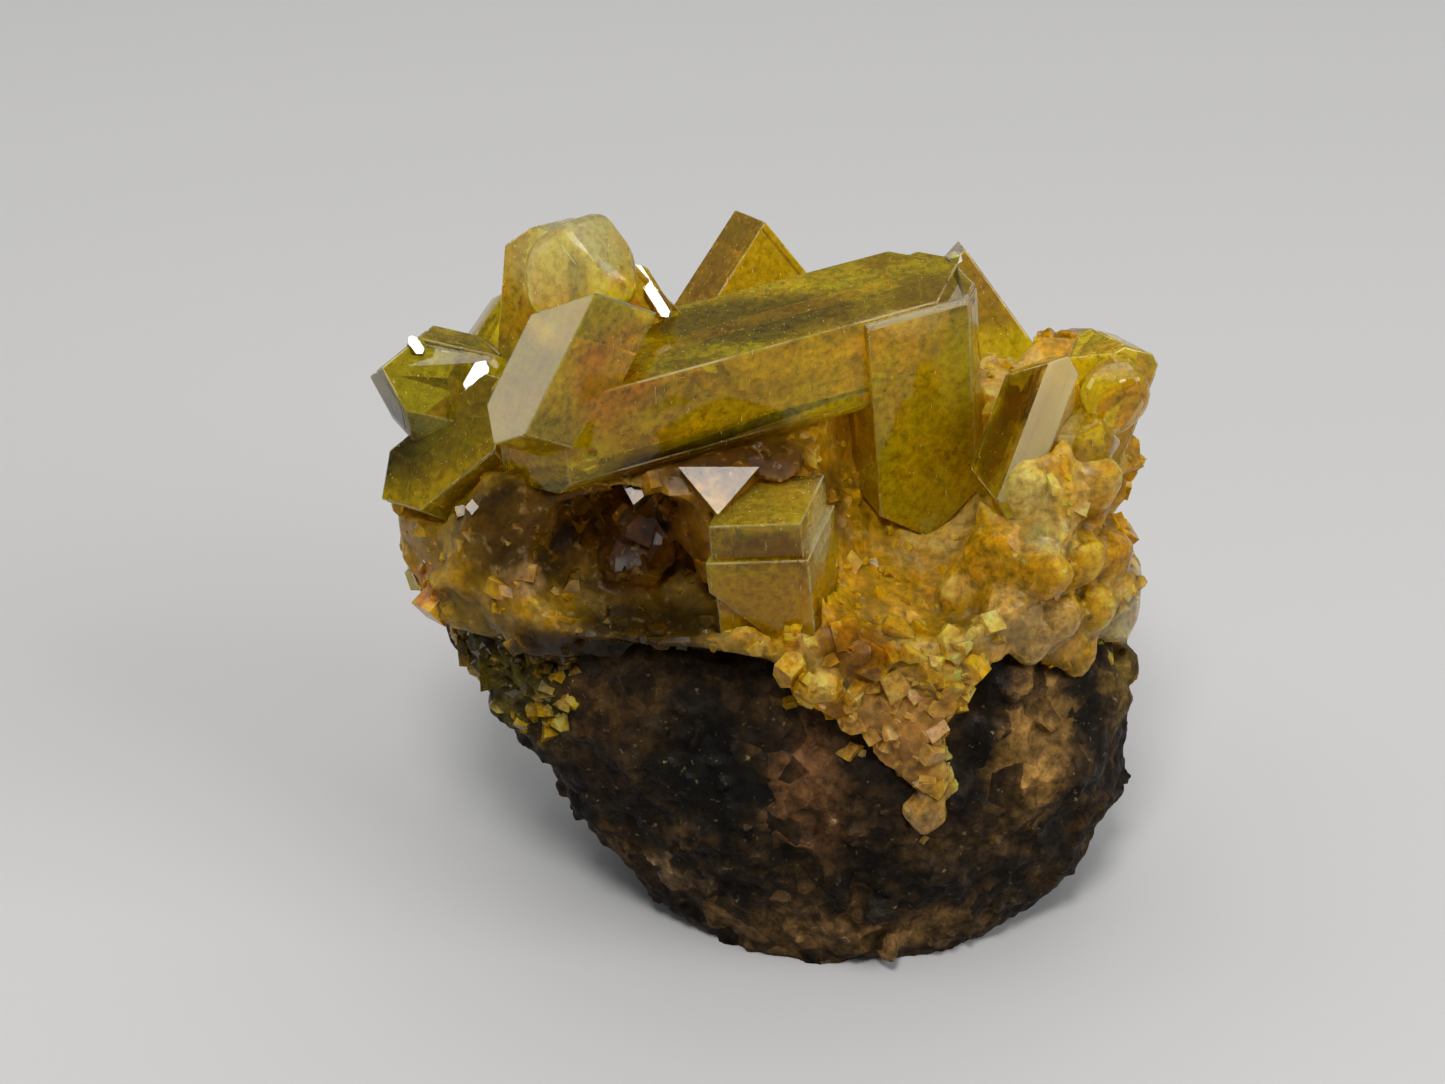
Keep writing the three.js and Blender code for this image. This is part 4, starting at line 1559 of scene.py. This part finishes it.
CRYSTALS = (
    CrystalPiece(
        "main_crystals",
        seed=3,
        chips=16,
        growths=(Crystal((-12.3, -0.9, 47.6), (0.1, 0.2, 1.0), (-0.5, -0.8, 0.2), 2.5, 3.4, 3.6),),
        laths=(Crystal((-7.7, 0.4, 45.7), (0.497, -0.631, -0.545), (-0.026, -0.703, 0.711), 0.4, 1.7, 0.52),),
        # The upright's face: a frosted skin, painted pale as a reflection.
        frosts_and_reflections=(FrostAndReflection((-14.2, -9.7, 46.2), (-0.65, -0.54, 0.54), 0.6),),
        # The bar's ridge and the end block's top edge: worn wide, and painted pale as a highlight.
        highlit_rubs=(
            HighlitRub(
                (
                    (-10.6, -8.5, 43.2),
                    (6.5, -2.6, 44.7),
                    (13.3, -0.1, 45.4),
                    (14.1, 2.3, 45.5),
                    (12.6, 6.2, 45.4),
                ),
                0.3 * MM,
            ),
        ),
    ),
    CrystalPiece("rear_point_crystal", seed=4),
    CrystalPiece("rear_right_crystal", seed=14),
    CrystalPiece("centre_crystal", seed=6),
    CrystalPiece(
        "right_crystals",
        seed=8,
        growths=(
            Crystal((23.2, -2.2, 39.4), (0.5, 0.1, 1.0), (0.4, -1.0, 0.3), 1.9, 2.3, 2.3),
            Crystal((21.4, -4.0, 37.0), (0.2, 0.1, 1.0), (0.2, -1.0, 0.4), 1.6, 1.7, 1.9),
        ),
        # The beige band: a frosted skin, painted pale as a reflection.
        frosts_and_reflections=(FrostAndReflection((19.4, -4.0, 39.3), (0.12, -0.86, 0.49), 0.9),),
    ),
    CrystalPiece(
        "left_crystals",
        seed=9,
        laths=(
            Crystal((-19.4, -1.85, 40.45), (-0.466, -0.627, -0.586), (0.018, -0.69, 0.724), 0.4, 1.0, 0.68),
            Crystal((-23.3, -1.65, 42.75), (0.575, -0.562, -0.569), (0.033, -0.694, 0.719), 0.4, 0.6, 0.52),
        ),
    ),
)


def main() -> None:
    """Builds the cluster's pieces round its frame, and the studio."""
    logging.basicConfig(level=logging.INFO, format="%(name)s: %(message)s")
    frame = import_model()
    nodes = frame["nodes"]
    golden = GoldenBarite().make()
    finished = [
        (crystal.build(nodes[crystal.node], golden), crystal.node, "golden_barite") for crystal in CRYSTALS
    ]
    neighbours = [surface_of(piece) for piece, _, _ in finished]
    crust = CrustPiece()
    rock = RockPiece()
    grown = crust.build(nodes[crust.node], nodes[rock.node], HoneyCrust().make(), neighbours)
    finished.append((grown, crust.node, "barite_crust"))
    mass = rock.build(nodes[rock.node], DarkRock().make(), surface_of(grown))
    finished.append((mass, rock.node, "host_rock"))
    for piece, node, slot in finished:
        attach(piece, "root")
        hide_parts(node)
        log.info("%s: %d faces", piece.name, len(piece.data.polygons))
    Studio().build()


if __name__ == "__main__":
    main()
